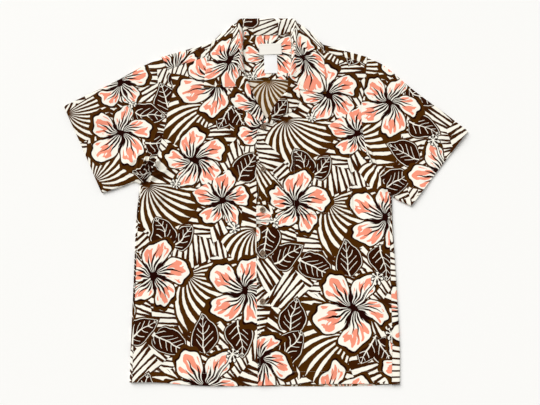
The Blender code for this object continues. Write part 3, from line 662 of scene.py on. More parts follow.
class Creases:
    """A table of creases as arrays, so that one point is measured against all of them at once. A crease
    wanders a little from its straight line, and `tail` says how soon it fades towards its end."""

    def __init__(self, creases, wander, tail):
        self.segments = segments([((row.x0, row.y0), (row.x1, row.y1)) for row in creases])
        self.widths = np.array([2.0 * row.half_width for row in creases])
        self.heights = np.array([row.height for row in creases])
        self.wander = wander
        self.tail = tail

    def wandered(self, x, y):
        bend = noise.noise_vector(Vector((x / WANDER_SIZE, y / WANDER_SIZE, 1.0))) * self.wander
        return x + bend.x, y + bend.y

    def fade(self, t):
        return soft(START_FADE * t) * soft(self.tail * (1.0 - t))

    def height(self, x, y):
        away, t = distances(*self.wandered(x, y), self.segments)
        return float((self.heights * soft(1.0 - away / self.widths) * self.fade(t)).sum())

    def taken_up(self, x, y):
        """Where a fold stands up it takes cloth in, so the print on its flanks is closer together."""
        x, y = self.wandered(x, y)
        _, t = distances(x, y, self.segments)
        starts, runs, squares = self.segments
        across = np.stack((-runs[:, 1], runs[:, 0]), axis=1) / np.sqrt(squares)[:, None]
        beside = ((np.array((x, y)) - starts) * across).sum(axis=1) / self.widths
        length = 2.0 * (np.hypot(self.widths, self.heights) - self.widths)
        part = soft((beside + 1.0) / 2.0) - 0.5
        share = length * TAKEN_UP * part * soft(1.0 - np.abs(beside) / TAKEN_UP_REACH) * self.fade(t)
        return Vector((across * share[:, None]).sum(axis=0))


noise.seed_set(WANDER_SEED)
FOLDS = segments(fold_lines())
LARGE_FOLDS = Creases(RIDGES, wander=6.0, tail=4.0)
FINE_FOLDS = Creases(CREASES + pleat_creases(), wander=7.0, tail=1.7)


def distances(x, y, lines):
    """Distance from a point to each segment, and how far along each the nearest spot is."""
    starts, runs, squares = lines
    away = np.array((x, y)) - starts
    t = np.clip((away * runs).sum(axis=1) / squares, 0.0, 1.0)
    return np.sqrt(((away - runs * t[:, None]) ** 2).sum(axis=1)), t


def soft(values):
    values = np.clip(values, 0.0, 1.0)
    return values * values * (3.0 - 2.0 * values)


def relief(x, y):
    """Height of folds, creases and crumple at a point of the upper layer."""
    fine = FINE_FOLDS.height(x, y)
    for size, rise in CRUMPLE_SIZES:
        fine += rise * ripple(x, y, size, size)
    from_button = min(math.hypot(x - button.x, y - button.y) for button in BUTTONS)
    return LARGE_FOLDS.height(x, y) + fine * ramp(from_button, *BUTTON_CALM)


@lru_cache(maxsize=None)
def under(x, y):
    """Lower face of the shirt's upper layer: low in the middle, at a fold's height along the folds."""
    away, _ = distances(x, y, FOLDS)
    nearest = float(away.min())
    near = ramp(nearest, FOLD_FADE, FOLD_FLAT)
    on_yoke = ramp(y, *YOKE_RISE_Y) * ramp(abs(x), *YOKE_RISE_X)
    base = LAYER * (1.0 + on_yoke)
    fold = 2.0 * FOLD_RADIUS - CLOTH
    return mix(base, fold, near) + max(relief(x, y) * ramp(nearest, *FOLD_CALM), mix(*DEEPEST, on_yoke))


def plain_top(x, y):
    """Upper face of the shirt's upper layer, without its stitching."""
    return under(x, y) + CLOTH


@lru_cache(maxsize=None)
def before_folding(x, y):
    """Where this point of the upper layer would lie if its creases were smoothed out sideways."""
    return Vector((x, y)) + FINE_FOLDS.taken_up(x, y)


def overlap(distance, y):
    """How far the left front is lifted over the right one, by the distance from its edge."""
    return LAYER * ramp(y, *OVERLAP_FADE_Y) * ramp(distance, *OVERLAP_END)


def front_lift(side, x, y):
    return overlap(x - read(FRONT_EDGES["left"], y, "x"), y) if side == "left" else 0.0


def top(side, x, y):
    """Upper face of a front, or of a sleeve or the yoke's forward strip."""
    return under(x, y) + front_lift(side, x, y) + CLOTH


def hem_rise(x, y, column):
    """How far the hem's own line moves this point, fading upwards."""
    return read(HEM_SPOTS, x, column) * ramp(y, HEM_Y + HEM_RISE_FADE, HEM_Y)


# %% [markdown]
# ## A sheet of cloth
#
# `cloth` makes one closed wall. `create_grid` gives the flat pattern, `extrude_face_region` gives
# it a second face, and `place` says where each grid point lies for the outer face (0) and the inner
# one (1). `chart` says where the same point lies on the flat cloth before sewing: the print reads
# it as a UV map in metres.

# %% Cloth walls
ROOT = "root"
SHARP_ANGLE = math.radians(60)


def steps(*spans):
    """Stations of a grid. Each span is (start, end, count) and starts where the last one ended."""
    stations = [spans[0][0]]
    for start, end, count in spans:
        for number in range(1, count + 1):
            stations.append(mix(start, end, number / count))
    return stations


def finish_piece(name, shape, nodes, slot, materials, uvs=None):
    """Turns a bmesh in millimetres into a piece of the scene, which stands for these CAD nodes."""
    bmesh.ops.translate(shape, verts=shape.verts, vec=-LAY_CENTRE)
    bmesh.ops.scale(shape, verts=shape.verts, vec=(MM, MM, MM))
    bmesh.ops.recalc_face_normals(shape, faces=shape.faces)
    mesh = bpy.data.meshes.new(name)
    shape.to_mesh(mesh)
    shape.free()
    for material in materials:
        mesh.materials.append(material)
    mesh.shade_smooth()
    mesh.set_sharp_from_angle(angle=SHARP_ANGLE)
    if uvs is not None:
        corners = np.empty(len(mesh.loops), dtype=np.int32)
        mesh.loops.foreach_get("vertex_index", corners)
        chart_map = mesh.uv_layers.new(name="cloth")
        chart_map.uv.foreach_set("vector", (uvs[corners] * MM).astype(np.float32).ravel())
    piece = bpy.data.objects.new(name, mesh)
    bpy.context.collection.objects.link(piece)
    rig.ride(piece, ROOT)
    if nodes:
        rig.replaces(piece, *nodes)
    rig.slot(piece, slot)
    return piece


def cloth(name, columns, rows, place, chart, materials, leave_out=None, slot="printed_cotton"):
    """One closed wall over the stations, which replaces the CAD node of its name. The result of
    place(column, row, face) is in millimetres; face 0 takes the first material and face 1 the second."""
    shape = bmesh.new()
    width = len(columns) - 1
    height = len(rows) - 1
    to_cells = Matrix.Diagonal((width, height, 1.0, 1.0)) @ Matrix.Translation((0.5, 0.5, 0.0))
    bmesh.ops.create_grid(shape, x_segments=width, y_segments=height, size=0.5, matrix=to_cells)
    if leave_out:
        unused = []
        for face in shape.faces:
            centre = face.calc_center_median()
            if leave_out(columns[int(centre.x)], rows[int(centre.y)]):
                unused.append(face)
        bmesh.ops.delete(shape, geom=unused, context="FACES")
    raised = bmesh.ops.extrude_face_region(shape, geom=shape.faces[:])["geom"]
    raised_points = [item for item in raised if isinstance(item, bmesh.types.BMVert)]
    bmesh.ops.translate(shape, verts=raised_points, vec=(0.0, 0.0, 1.0))
    for face in shape.faces:
        face.material_index = 1 if min(vert.co.z for vert in face.verts) > 0.5 else 0
    uvs = np.empty((len(shape.verts), 2))
    shape.verts.ensure_lookup_table()
    shape.verts.index_update()
    for vert in shape.verts:
        column = columns[round(vert.co.x)]
        row = rows[round(vert.co.y)]
        uvs[vert.index] = chart(column, row)
        vert.co = place(column, row, round(vert.co.z))
    piece = finish_piece(name, shape, [name], slot, materials, uvs)
    area = sum(polygon.area for polygon in piece.data.polygons) / 2
    print(f"{name}: {len(piece.data.polygons)} faces, {area:.4f} m2 a side")
    return piece


def turned(fold_point, inward, angle, radius):
    """A point on the half turn of a fold: angle 0 is underneath, pi on top."""
    centre = fold_point + inward * FOLD_RADIUS
    return lifted(centre - inward * radius * math.sin(angle), FOLD_RADIUS - radius * math.cos(angle))


# %% [markdown]
# ## The print
#
# One repeat of the print is `TILE_WIDTH` by `TILE_HEIGHT` on the flat cloth. The tables chart it:
# flowers, leaves and palm fans, each with its place and its turn. The node graph finds the nearest
# motif of each kind, turns the point into the motif's own coordinates, and draws the motif there
# with plain geometry: a petal is a wavy radius, a leaf a width along a midrib, a fan a set of bent
# rays.
#
# `Field` makes the graph readable. It stands for one number at every point of the cloth, and
# arithmetic on it adds Math nodes.

# %% Print tables
TILE_WIDTH = 300.0
TILE_HEIGHT = 640.0

SIZE_STEP = 5.0
TURN_SHARE = 0.1  # a motif's turn in radians times this is always under 1
TILE_DEPTH = 200.0  # more than any motif's size and turn, so that they never wrap round
Motif = namedtuple("Motif", "x y turn_deg size")  # the size is in whole steps of SIZE_STEP
FLOWERS = (
    Motif(138, 456, 228, 65),
    Motif(201, 366, -72, 60),
    Motif(64, 211, 213, 65),
    Motif(251, 181, -12, 70),
    Motif(178, 0, 42, 75),
    Motif(288, 536, 120, 60),
)
LEAVES = (
    Motif(76, 300, 112, 70),
    Motif(120, 292, 52, 55),
    Motif(108, 77, -28, 75),
    Motif(170, 100, 98, 70),
    Motif(242, 88, -84, 70),
    Motif(45, 105, 30, 70),
    Motif(47, 562, 52, 70),
    Motif(202, 556, -122, 60),
    Motif(242, 543, -58, 70),
    Motif(252, 445, 62, 70),
    Motif(56, 622, 78, 70),
    Motif(301, 133, -92, 70),
)
FANS = (
    Motif(168, 583, 186, 120),
    Motif(134, 213, -48, 110),
    Motif(46, 398, -72, 110),
    Motif(272, 306, -112, 90),
)
STROKE_CELL = 62.0  # size of a bundle of ground strokes
STROKE_SPACING = 10.8  # across a bundle, from stroke to stroke

CREAM = (0.965, 0.930, 0.820, 1.0)
VEIN_CREAM = (0.965, 0.925, 0.81, 1.0)
CORAL = (0.93, 0.315, 0.205, 1.0)
OUTLINE_BROWN = (0.015, 0.0018, 0.0005, 1.0)
GROUND_OLIVE = (0.066, 0.0205, 0.0012, 1.0)
STROKE_BROWN = (0.046, 0.0115, 0.0010, 1.0)
LEAF_BROWN = (0.031, 0.0062, 0.0008, 1.0)
WRONG_SIDE = (0.255, 0.125, 0.023, 1.0)

# %% Fields


class Field:
    """One number at every point of a surface. Arithmetic on it adds Math nodes to its tree."""

    def __init__(self, tree, socket):
        self.tree = tree
        self.socket = socket

    def math(self, operation, *others, clamp=False):
        node = self.tree.nodes.new("ShaderNodeMath")
        node.operation = operation
        node.use_clamp = clamp
        for entry, value in zip(node.inputs, (self, *others)):
            plug(self.tree, value, entry)
        return Field(self.tree, node.outputs[0])

    __add__ = __radd__ = partialmethod(math, "ADD")
    __sub__ = partialmethod(math, "SUBTRACT")
    __mul__ = __rmul__ = partialmethod(math, "MULTIPLY")
    __truediv__ = partialmethod(math, "DIVIDE")
    __pow__ = partialmethod(math, "POWER")
    __abs__ = partialmethod(math, "ABSOLUTE")
    sin = partialmethod(math, "SINE")
    cos = partialmethod(math, "COSINE")
    sqrt = partialmethod(math, "SQRT")
    least = partialmethod(math, "MINIMUM")
    most = partialmethod(math, "MAXIMUM")

    def __rsub__(self, other):
        return self * -1.0 + other

    def wrapped(self, half):
        """The distance to the nearest multiple of twice the half."""
        return self.math("WRAP", half, -half)

    def inside(self, softness=0.45):
        """1 where the field is above zero, 0 below it, with an edge this soft in millimetres."""
        return self.math("MULTIPLY_ADD", 1.0 / softness, 0.5, clamp=True)


def length_of(x, y):
    return (x * x + y * y).sqrt()


def angle_of(y, x):
    return y.math("ARCTAN2", x)


def plug(tree, value, entry):
    """Links a field or a socket to an input, or writes a constant there."""
    if isinstance(value, Field):
        tree.links.new(value.socket, entry)
    elif isinstance(value, bpy.types.NodeSocket):
        tree.links.new(value, entry)
    else:
        entry.default_value = value


def vector_math(tree, operation, *values):
    node = tree.nodes.new("ShaderNodeVectorMath")
    node.operation = operation
    for entry, value in zip(node.inputs, values):
        plug(tree, value, entry)
    return node.outputs["Value" if operation in ("LENGTH", "DOT_PRODUCT") else "Vector"]


def scaled(tree, vector, factor):
    node = tree.nodes.new("ShaderNodeVectorMath")
    node.operation = "SCALE"
    plug(tree, vector, node.inputs["Vector"])
    node.inputs["Scale"].default_value = factor
    return node.outputs["Vector"]


def parts_of(tree, vector):
    node = tree.nodes.new("ShaderNodeSeparateXYZ")
    plug(tree, vector, node.inputs[0])
    return [Field(tree, socket) for socket in node.outputs]


def joined(tree, x, y, z=0.0):
    node = tree.nodes.new("ShaderNodeCombineXYZ")
    for entry, value in zip(node.inputs, (x, y, z)):
        plug(tree, value, entry)
    return node.outputs[0]


def turned_about_z(tree, vector, angle):
    node = tree.nodes.new("ShaderNodeVectorRotate")
    node.rotation_type = "Z_AXIS"
    plug(tree, vector, node.inputs["Vector"])
    plug(tree, angle, node.inputs["Angle"])
    return node.outputs[0]


def cloth_place(tree):
    """The point of the flat cloth, in millimetres."""
    chart_map = tree.nodes.new("ShaderNodeUVMap")
    chart_map.uv_map = "cloth"
    return scaled(tree, chart_map.outputs["UV"], 1.0 / MM)


def solid_place(tree):
    """The point of the object itself, in millimetres."""
    coordinates = tree.nodes.new("ShaderNodeTexCoord")
    return scaled(tree, coordinates.outputs["Object"], 1.0 / MM)


def noise_at(tree, vector, size, detail=1.0):
    """Noise over features of this size: (value, colour)."""
    node = tree.nodes.new("ShaderNodeTexNoise")
    node.noise_dimensions = "2D"
    plug(tree, vector, node.inputs["Vector"])
    node.inputs["Scale"].default_value = 1.0 / size
    node.inputs["Detail"].default_value = detail
    return Field(tree, node.outputs["Fac"]), node.outputs["Color"]


# %% [markdown]
# Blender's Mix node keeps a socket of each kind under the same name, so a plain name picks the
# first one. `mix_entry` picks the socket of the node's own kind instead.

# %% Mix nodes


def mix_entry(node, name, kind):
    return next(entry for entry in node.inputs if entry.name == name and entry.type == kind)


def mixed(tree, kind, share, first, second):
    node = tree.nodes.new("ShaderNodeMix")
    node.data_type = kind
    plug(tree, share, mix_entry(node, "Factor", "VALUE"))
    plug(tree, first, mix_entry(node, "A", kind))
    plug(tree, second, mix_entry(node, "B", kind))
    return next(socket for socket in node.outputs if socket.type == kind)


def blend(tree, share, below, above):
    """A colour with another laid over it by the share."""
    return mixed(tree, "RGBA", share, below, above)


def choose(tree, share, first, second):
    return mixed(tree, "VECTOR", share, first, second)


# %% [markdown]
# `nearest` walks through the motifs of one kind and keeps the closest. The repeat is a `WRAP` of
# the offset, so each motif comes back every tile. The motif's turn rides along in the offset's z.

# %% Nearest motif


def nearest(tree, place, motifs):
    """Coordinates in the nearest motif's own frame: x, y, the distance and the motif's size."""
    best = None
    shortest = None
    for motif in motifs:
        carried = motif.size / SIZE_STEP + math.radians(motif.turn_deg % 360) * TURN_SHARE
        away = vector_math(tree, "SUBTRACT", place, (motif.x, motif.y, -carried))
        half = (TILE_WIDTH / 2, TILE_HEIGHT / 2, TILE_DEPTH / 2)
        away = vector_math(tree, "WRAP", away, half, tuple(-value for value in half))
        distance = Field(tree, vector_math(tree, "LENGTH", away)) - motif.size
        if best is None:
            best = away
            shortest = distance
            continue
        closer = distance.math("LESS_THAN", shortest)
        best = choose(tree, closer, best, away)
        shortest = shortest.least(distance)
    carried = parts_of(tree, best)[2]
    size = carried.math("FLOOR") * SIZE_STEP
    own = turned_about_z(tree, best, carried.math("FRACT") * (-1.0 / TURN_SHARE))
    x, y, _ = parts_of(tree, own)
    return x, y, length_of(x, y), size


# %% Drawing
STROKE_FOCUS = 150.0  # the strokes of a bundle converge this far away
STROKE_HALF = 2.6
STROKE_TAPER = 0.084
STROKE_FADE = 0.0005
FAN_SWEEP = 0.42
FAN_REACH = 1.72  # half of a fan's spread, in radians
BLADE_HALF_TURN = 0.16
BLADE_HALF = 6.0
LEAF_FULLNESS = 0.88
LEAF_VEIN_HALF_STEP = 6.8
PETAL_HALF = math.radians(36)
PETAL_SWIRL = 0.42
PETAL_VEIN_HALF_TURN = 0.125
PISTIL_BEND = 0.0016
PISTIL_DOT_HALF_TURN = 0.449  # seven dots round the tip
PISTIL_TIP = 10.0


def draw_ground(tree, place, colour):
    """Bundles of cream strokes on brown. Each Voronoi cell turns its own bundle, and the strokes of a
    bundle taper one way and the other by turns."""
    cells = tree.nodes.new("ShaderNodeTexVoronoi")
    cells.voronoi_dimensions = "2D"
    plug(tree, scaled(tree, place, 1.0 / STROKE_CELL), cells.inputs["Vector"])
    cells.inputs["Scale"].default_value = 1.0
    cells.inputs["Randomness"].default_value = 0.95
    centre = scaled(tree, cells.outputs["Position"], STROKE_CELL)
    turn, boldness, _ = parts_of(tree, cells.outputs["Color"])
    own = turned_about_z(tree, vector_math(tree, "SUBTRACT", place, centre), turn * math.tau)
    x, y, _ = parts_of(tree, own)
    bundle = angle_of(y, x + STROKE_FOCUS)
    off = abs(bundle.wrapped(STROKE_SPACING / STROKE_FOCUS / 2)) * STROKE_FOCUS
    by_turns = (bundle * (math.pi * STROKE_FOCUS / STROKE_SPACING)).cos()
    stroke = boldness * 1.3 + STROKE_HALF + by_turns * x * STROKE_TAPER - x * x * STROKE_FADE - off
    return blend(tree, stroke.inside(), colour, CREAM)


def draw_fans(tree, place, colour):
    """Palm fans: cream blades that leave a dark hub, sweep round to one side and end in points."""
    x, y, distance, size = nearest(tree, place, FANS)
    swept = y - distance * distance / size * FAN_SWEEP
    root = angle_of(swept, x) * (distance / size * 0.7 + 1.0)
    ray = abs(root.wrapped(BLADE_HALF_TURN)) * distance
    to_rim = size - distance
    blade = (distance * 0.078 - 0.4).least(BLADE_HALF).least(to_rim * 0.28) - ray
    region = ((FAN_REACH - abs(root)) * distance).least(to_rim)
    colour = blend(tree, (region + 2.5).inside(), colour, GROUND_OLIVE)
    return blend(tree, blade.least(region).inside(), colour, CREAM)


def draw_leaves(tree, place, colour):
    """Dark leaves with a cream rim, midrib and side veins."""
    x, y, _, size = nearest(tree, place, LEAVES)
    t = (x / size + 0.5).math("MULTIPLY", 1.0, clamp=True)
    half = (t**0.5) * ((1.0 - t) ** 0.85) * size * LEAF_FULLNESS
    off = abs(y)
    body = half - off - (abs(x) - size * 0.5).most(0.0)
    side_vein = 0.80 - abs((x - off * 0.8 - off * off * 0.012).wrapped(LEAF_VEIN_HALF_STEP))
    side_vein = side_vein.least(half * 0.66 - off)
    midrib = (1.5 - t) - off
    veins = side_vein.most(midrib)
    colour = blend(tree, (body + 5.0).inside(), colour, GROUND_OLIVE)
    colour = blend(tree, (body + 1.3).inside(), colour, CREAM)
    colour = blend(tree, body.inside(), colour, OUTLINE_BROWN)
    colour = blend(tree, (body - 2.0).inside(2.0), colour, LEAF_BROWN)
    return blend(tree, veins.least(body).inside(), colour, VEIN_CREAM)


def draw_flowers(tree, place, colour):
    """Five-petalled hibiscus: wavy cream petals with streaks of coral, dark veins and a long pistil."""
    x, y, distance, size = nearest(tree, place, FLOWERS)
    direction = angle_of(y, x)
    swirl = direction + distance / size * PETAL_SWIRL + PETAL_HALF
    offset = swirl.wrapped(PETAL_HALF)
    across = abs(offset) / PETAL_HALF
    ruffle = (offset * (math.pi * 3.0 / PETAL_HALF)).cos() * 0.040 + (direction * 7.0).sin() * 0.032
    nearer = direction.cos() * 0.13
    reach = (1.0 - nearer + ruffle - across**2.6 * 0.54) * size
    body = reach - distance
    share = distance / reach

    # coral: fingers that run along the petal, broken by the cream
    round_middle = joined(tree, x / distance * 34.0 + x * 0.16, y / distance * 34.0 + y * 0.16)
    finger, _ = noise_at(tree, round_middle, 7.0, detail=1.6)
    finger = (finger - 0.5) * 2.0
    coral = (share - 0.58 + finger * 0.66).least(0.88 - share + finger * 0.16)
    coral = (coral * 70.0).least((0.68 - across) * 26.0).least((finger + 0.055) * 36.0)

    # dark lines: partings between petals, veins from the middle, and the middle itself
    parting = distance * 0.018 + 2.4 - abs(PETAL_HALF - abs(offset)) * distance
    vein_off = abs(offset.wrapped(PETAL_VEIN_HALF_TURN)) * distance
    vein_length = 0.80 - across * 0.22
    vein = ((vein_length - share) * 7.5).least(distance * 0.080).least(1.8) - vein_off
    ink = parting.most(vein).most(7.5 - distance)

    petals = blend(tree, coral.inside(), CREAM, CORAL)
    petals = blend(tree, ink.inside(), petals, OUTLINE_BROWN)
    colour = blend(tree, (body + 10.5).inside(), colour, GROUND_OLIVE)
    colour = blend(tree, (body + 3.6).inside(), colour, OUTLINE_BROWN)
    colour = blend(tree, body.inside(), colour, petals)
    return draw_pistil(tree, x, y, size, colour)


def draw_pistil(tree, x, y, size, colour):
    """A bent cream stalk from the flower's middle, ending in a burst of dots."""
    length = size * 0.98
    bent_off = y - x * x * PISTIL_BEND
    stalk = (x - 6.0).least(length - x).least(1.3 - abs(bent_off))
    from_tip_x = x - length
    from_tip_y = y - length * length * PISTIL_BEND
    distance = length_of(from_tip_x, from_tip_y)
    ray = abs(angle_of(from_tip_y, from_tip_x).wrapped(PISTIL_DOT_HALF_TURN)) * distance
    burst = (0.8 - ray).least(PISTIL_TIP - 1.0 - distance)
    dots = 2.3 - length_of(ray, distance - PISTIL_TIP)
    light = stalk.most(burst).most(dots)
    colour = blend(tree, (light + 1.7).inside(), colour, OUTLINE_BROWN)
    return blend(tree, light.inside(), colour, CREAM)


# %% [markdown]
# Two small wobbles keep the print from looking ruled: the flowers and leaves are bent a good deal,
# and every line wavers a little, as a hand's does.

# %% The whole print
MOTIF_WOBBLE = (46.0, 17.0)  # size of the wobble's features, and how far it moves a point
HAND_WOBBLE = (9.0, 1.5)


def wobbled(tree, place, source, size, distance):
    """The place, moved by noise that is read at the source, on the plane z = 0."""
    _, colour = noise_at(tree, source, size)
    offset = scaled(tree, vector_math(tree, "SUBTRACT", colour, (0.5, 0.5, 0.5)), distance)
    return vector_math(tree, "MULTIPLY", vector_math(tree, "ADD", place, offset), (1.0, 1.0, 0.0))


def print_group():
    """The whole print as a node group with one output, its colour."""
    tree = bpy.data.node_groups.new("hibiscus_print", "ShaderNodeTree")
    tree.interface.new_socket("Colour", in_out="OUTPUT", socket_type="NodeSocketColor")
    flat = cloth_place(tree)
    place = wobbled(tree, flat, flat, *HAND_WOBBLE)
    colour = draw_ground(tree, place, STROKE_BROWN)
    colour = draw_fans(tree, place, colour)
    wavy = wobbled(tree, place, flat, *MOTIF_WOBBLE)
    colour = draw_leaves(tree, wavy, colour)
    colour = draw_flowers(tree, wavy, colour)
    output = tree.nodes.new("NodeGroupOutput")
    tree.links.new(colour, output.inputs["Colour"])
    print(f"print group: {len(tree.nodes)} nodes")
    return tree


# %% [markdown]
# ## Materials
#
# The cloth is a light plain weave. Its bump comes from two crossed waves, one for each thread
# direction, and a softer noise for the thread's unevenness. The wrong side shows the same print,
# paler and yellower, as ink that has come through.

# %% Materials


def new_material(name, colour, roughness):
    material = bpy.data.materials.new(name)
    material.use_nodes = True
    shader = material.node_tree.nodes["Principled BSDF"]
    shader.inputs["Base Color"].default_value = colour
    shader.inputs["Roughness"].default_value = roughness
    return material, material.node_tree, shader


def weave_bump(tree, shader, thread=0.45, strength=0.25):
    """Bump of crossed threads, in the cloth's own flat coordinates."""
    place = cloth_place(tree)
    x, y, _ = parts_of(tree, place)
    warp = (x * (math.pi / thread)).sin()
    weft = (y * (math.pi / thread)).sin()
    slub, _ = noise_at(tree, place, 2.4, detail=2.0)
    soft_creases, _ = noise_at(tree, place, 14.0, detail=2.0)
    height = warp * weft * 0.35 + slub * 0.9 + soft_creases * 5.0
    bump = tree.nodes.new("ShaderNodeBump")
    bump.inputs["Strength"].default_value = strength
    bump.inputs["Distance"].default_value = 0.12 * MM
    plug(tree, height, bump.inputs["Height"])
    tree.links.new(bump.outputs["Normal"], shader.inputs["Normal"])


def cotton(name, group, wrong_side):
    material, tree, shader = new_material(name, CREAM, 0.82)
    shader.inputs["Sheen Weight"].default_value = 0.01
    shader.inputs["Specular IOR Level"].default_value = 0.02
    drawing = tree.nodes.new("ShaderNodeGroup")
    drawing.node_tree = group
    colour = drawing.outputs["Colour"]
    if wrong_side:
        colour = blend(tree, 0.32, colour, WRONG_SIDE)
    tree.links.new(colour, shader.inputs["Base Color"])
    weave_bump(tree, shader)
    return material


PRINT = print_group()
FACE_CLOTH = cotton("printed_cotton_face", PRINT, wrong_side=False)
BACK_CLOTH = cotton("printed_cotton_wrong_side", PRINT, wrong_side=True)
OUTER_IS_FACE_0 = (FACE_CLOTH, BACK_CLOTH)
OUTER_IS_FACE_1 = (BACK_CLOTH, FACE_CLOTH)
BOTH_FACES = (FACE_CLOTH, FACE_CLOTH)

# %% [markdown]
# ## Where each panel was cut
#
# Every panel has its own place and turn on the printed cloth, as a cutter lays patterns on the
# bolt. `Cut` maps the laid shirt's coordinates to the cloth's.

# %% Cuts
Cut = namedtuple("Cut", "x y turn_deg")
CUTS = {
    "front_right": Cut(290, 400, 0),
    "front_left": Cut(-2, 250, 0),
    "back": Cut(38, 155, 0),
    "yoke_outer": Cut(120, 20, 0),
    "yoke_inner": Cut(128, 151, 0),
    "sleeve_right": Cut(270, 189, -80),
    "sleeve_left": Cut(214, 93, -56),
    "collar": Cut(90, 391, 0),
    "lapel_right": Cut(150, 270, 0),
    "lapel_left": Cut(90, 120, 0),
}
SLEEVE_MIDDLE = {"right": Vector((-318, 140)), "left": Vector((330, 110))}


def on_bolt(cut_name, x, y):
    """A point of the laid shirt on the printed cloth, in millimetres."""
    cut = CUTS[cut_name]
    turn = math.radians(cut.turn_deg)
    return (
        x * math.cos(turn) - y * math.sin(turn) + cut.x,
        x * math.sin(turn) + y * math.cos(turn) + cut.y,
    )


# %% [markdown]
# ## Back and yokes
#
# The back lies flat, and its side edges turn round the side folds onto the front as far as the side
# seams. The yoke turns over the shoulders in the same way. Both show their wrong side inside the
# neck.

# %% Back
BACK_TURN = 6  # grid steps round each side fold
STRIP_CHART = 12.0  # how fast the flat pattern grows past a side fold, in millimetres for one column


def back_row_y(side, row):
    if row <= BODY_ROWS:
        return body_y(side, row)
    return armhole_y(side, row - BODY_ROWS)


def back_end(side, row):
    """Where the flat part of the back ends at one side."""
    y = back_row_y(side, row)
    if row <= BODY_ROWS:
        return Vector((read(SIDES[side], y, "fold") - outward(side) * FOLD_RADIUS, y))
    end = armhole_point(side, y, -GAP / 2)
    return Vector((end.x, min(end.y, YOKE_SEAM_Y - GAP / 2)))


def back_place(column, row, face):
    point = back_wall(column, row, face)
    return point + Vector((0.0, hem_rise(point.x, point.y, "rise"), 0.0))


def back_wall(column, row, face):
    """column 0 to 1 crosses the flat back. Below 0 and above 1 it goes round the folds, to the seams at
    -1 and 2."""
    if 0.0 <= column <= 1.0:
        spot = back_end("right", row).lerp(back_end("left", row), column)
        return lifted(spot, face * SHEET)
    side = "right" if column < 0.0 else "left"
    beyond = -column if column < 0.0 else column - 1.0
    y = back_row_y(side, row)
    fold = Vector((read(SIDES[side], y, "fold"), y))
    inward = Vector((-outward(side), 0.0))
    radius = FOLD_RADIUS - face * SHEET
    if beyond <= 0.5:
        return turned(fold, inward, math.pi * beyond * 2.0, radius)
    seam_x = read(SIDES[side], y, "seam") + outward(side) * GAP / 2
    x = mix(fold.x - outward(side) * FOLD_RADIUS, seam_x, (beyond - 0.5) * 2.0)
    return Vector((x, y, plain_top(x, y) - face * SHEET))


def back_chart(column, row):
    flat = back_place(min(max(column, 0.0), 1.0), row, 0)
    beyond = max(-column, column - 1.0, 0.0)
    side = -1.0 if column < 0.0 else 1.0
    turned_length = min(beyond * 2.0, 1.0) * math.pi * FOLD_RADIUS
    strip = max(beyond - 0.5, 0.0) * STRIP_CHART
    return on_bolt("back", flat.x + side * (turned_length + strip), flat.y)


def back_unused(column, row):
    return row >= BODY_ROWS and not 0.0 <= column < 1.0


back = cloth(
    "back",
    steps((-1.0, -0.5, 3), (-0.5, 0.0, BACK_TURN), (0.0, 1.0, 76), (1.0, 1.5, BACK_TURN), (1.5, 2.0, 3)),
    steps((0.0, BODY_ROWS, 66), (BODY_ROWS, BODY_ROWS + ARMHOLE_ROWS, 40)),
    back_place,
    back_chart,
    OUTER_IS_FACE_0,
    back_unused,
)

# %% Yokes
YOKE_WING_COLUMNS = 5
YOKE_NECK_COLUMNS = 5
YOKE_FLAT_ROWS = 3
YOKE_COLUMNS = 2 * YOKE_WING_COLUMNS + YOKE_NECK_COLUMNS


def yoke_side(column):
    return ("right", "left") if column <= YOKE_COLUMNS / 2 else ("left", "right")


def yoke_spot(column, row, inset, seam_gap):
    """The flat part of a yoke in plan, from the yoke seam at row 0 to the shoulder fold or the neck."""
    side, other = yoke_side(column)
    from_arm = column if side == "right" else YOKE_COLUMNS - column
    fold = SHOULDERS[side]
    low_y = YOKE_SEAM_Y + seam_gap
    arm_station = ARMHOLE_ROWS + min(row, 1.0) + max(row - 1.0, 0.0) / (YOKE_FLAT_ROWS - 1)
    arm = armhole_point(side, armhole_y(side, arm_station), -GAP / 2 - inset)
    arm.y = max(arm.y, low_y)
    if from_arm <= YOKE_WING_COLUMNS:
        share = from_arm / YOKE_WING_COLUMNS
        arm_x = armhole_point(side, YOKE_SEAM_Y, -GAP / 2 - inset).x
        low_x = mix(arm_x, STRIP_NECK_X[side], share)
        high = shoulder_point(side, mix(fold.arm_x, STRIP_NECK_X[side], share), FOLD_RADIUS + inset)
    else:
        share = 1.0
        low_x = mix(
            STRIP_NECK_X[side], STRIP_NECK_X[other], (from_arm - YOKE_WING_COLUMNS) / YOKE_NECK_COLUMNS
        )
        high = Vector((low_x, NECK_SEAM_Y - inset))
    straight = Vector((low_x, low_y)).lerp(high, row / YOKE_FLAT_ROWS)
    end_low = Vector((armhole_point(side, YOKE_SEAM_Y, -GAP / 2 - inset).x, low_y))
    end_high = shoulder_point(side, fold.arm_x, FOLD_RADIUS + inset)
    bow = arm - end_low.lerp(end_high, row / YOKE_FLAT_ROWS)
    return straight + bow * max(1.0 - from_arm, 0.0)


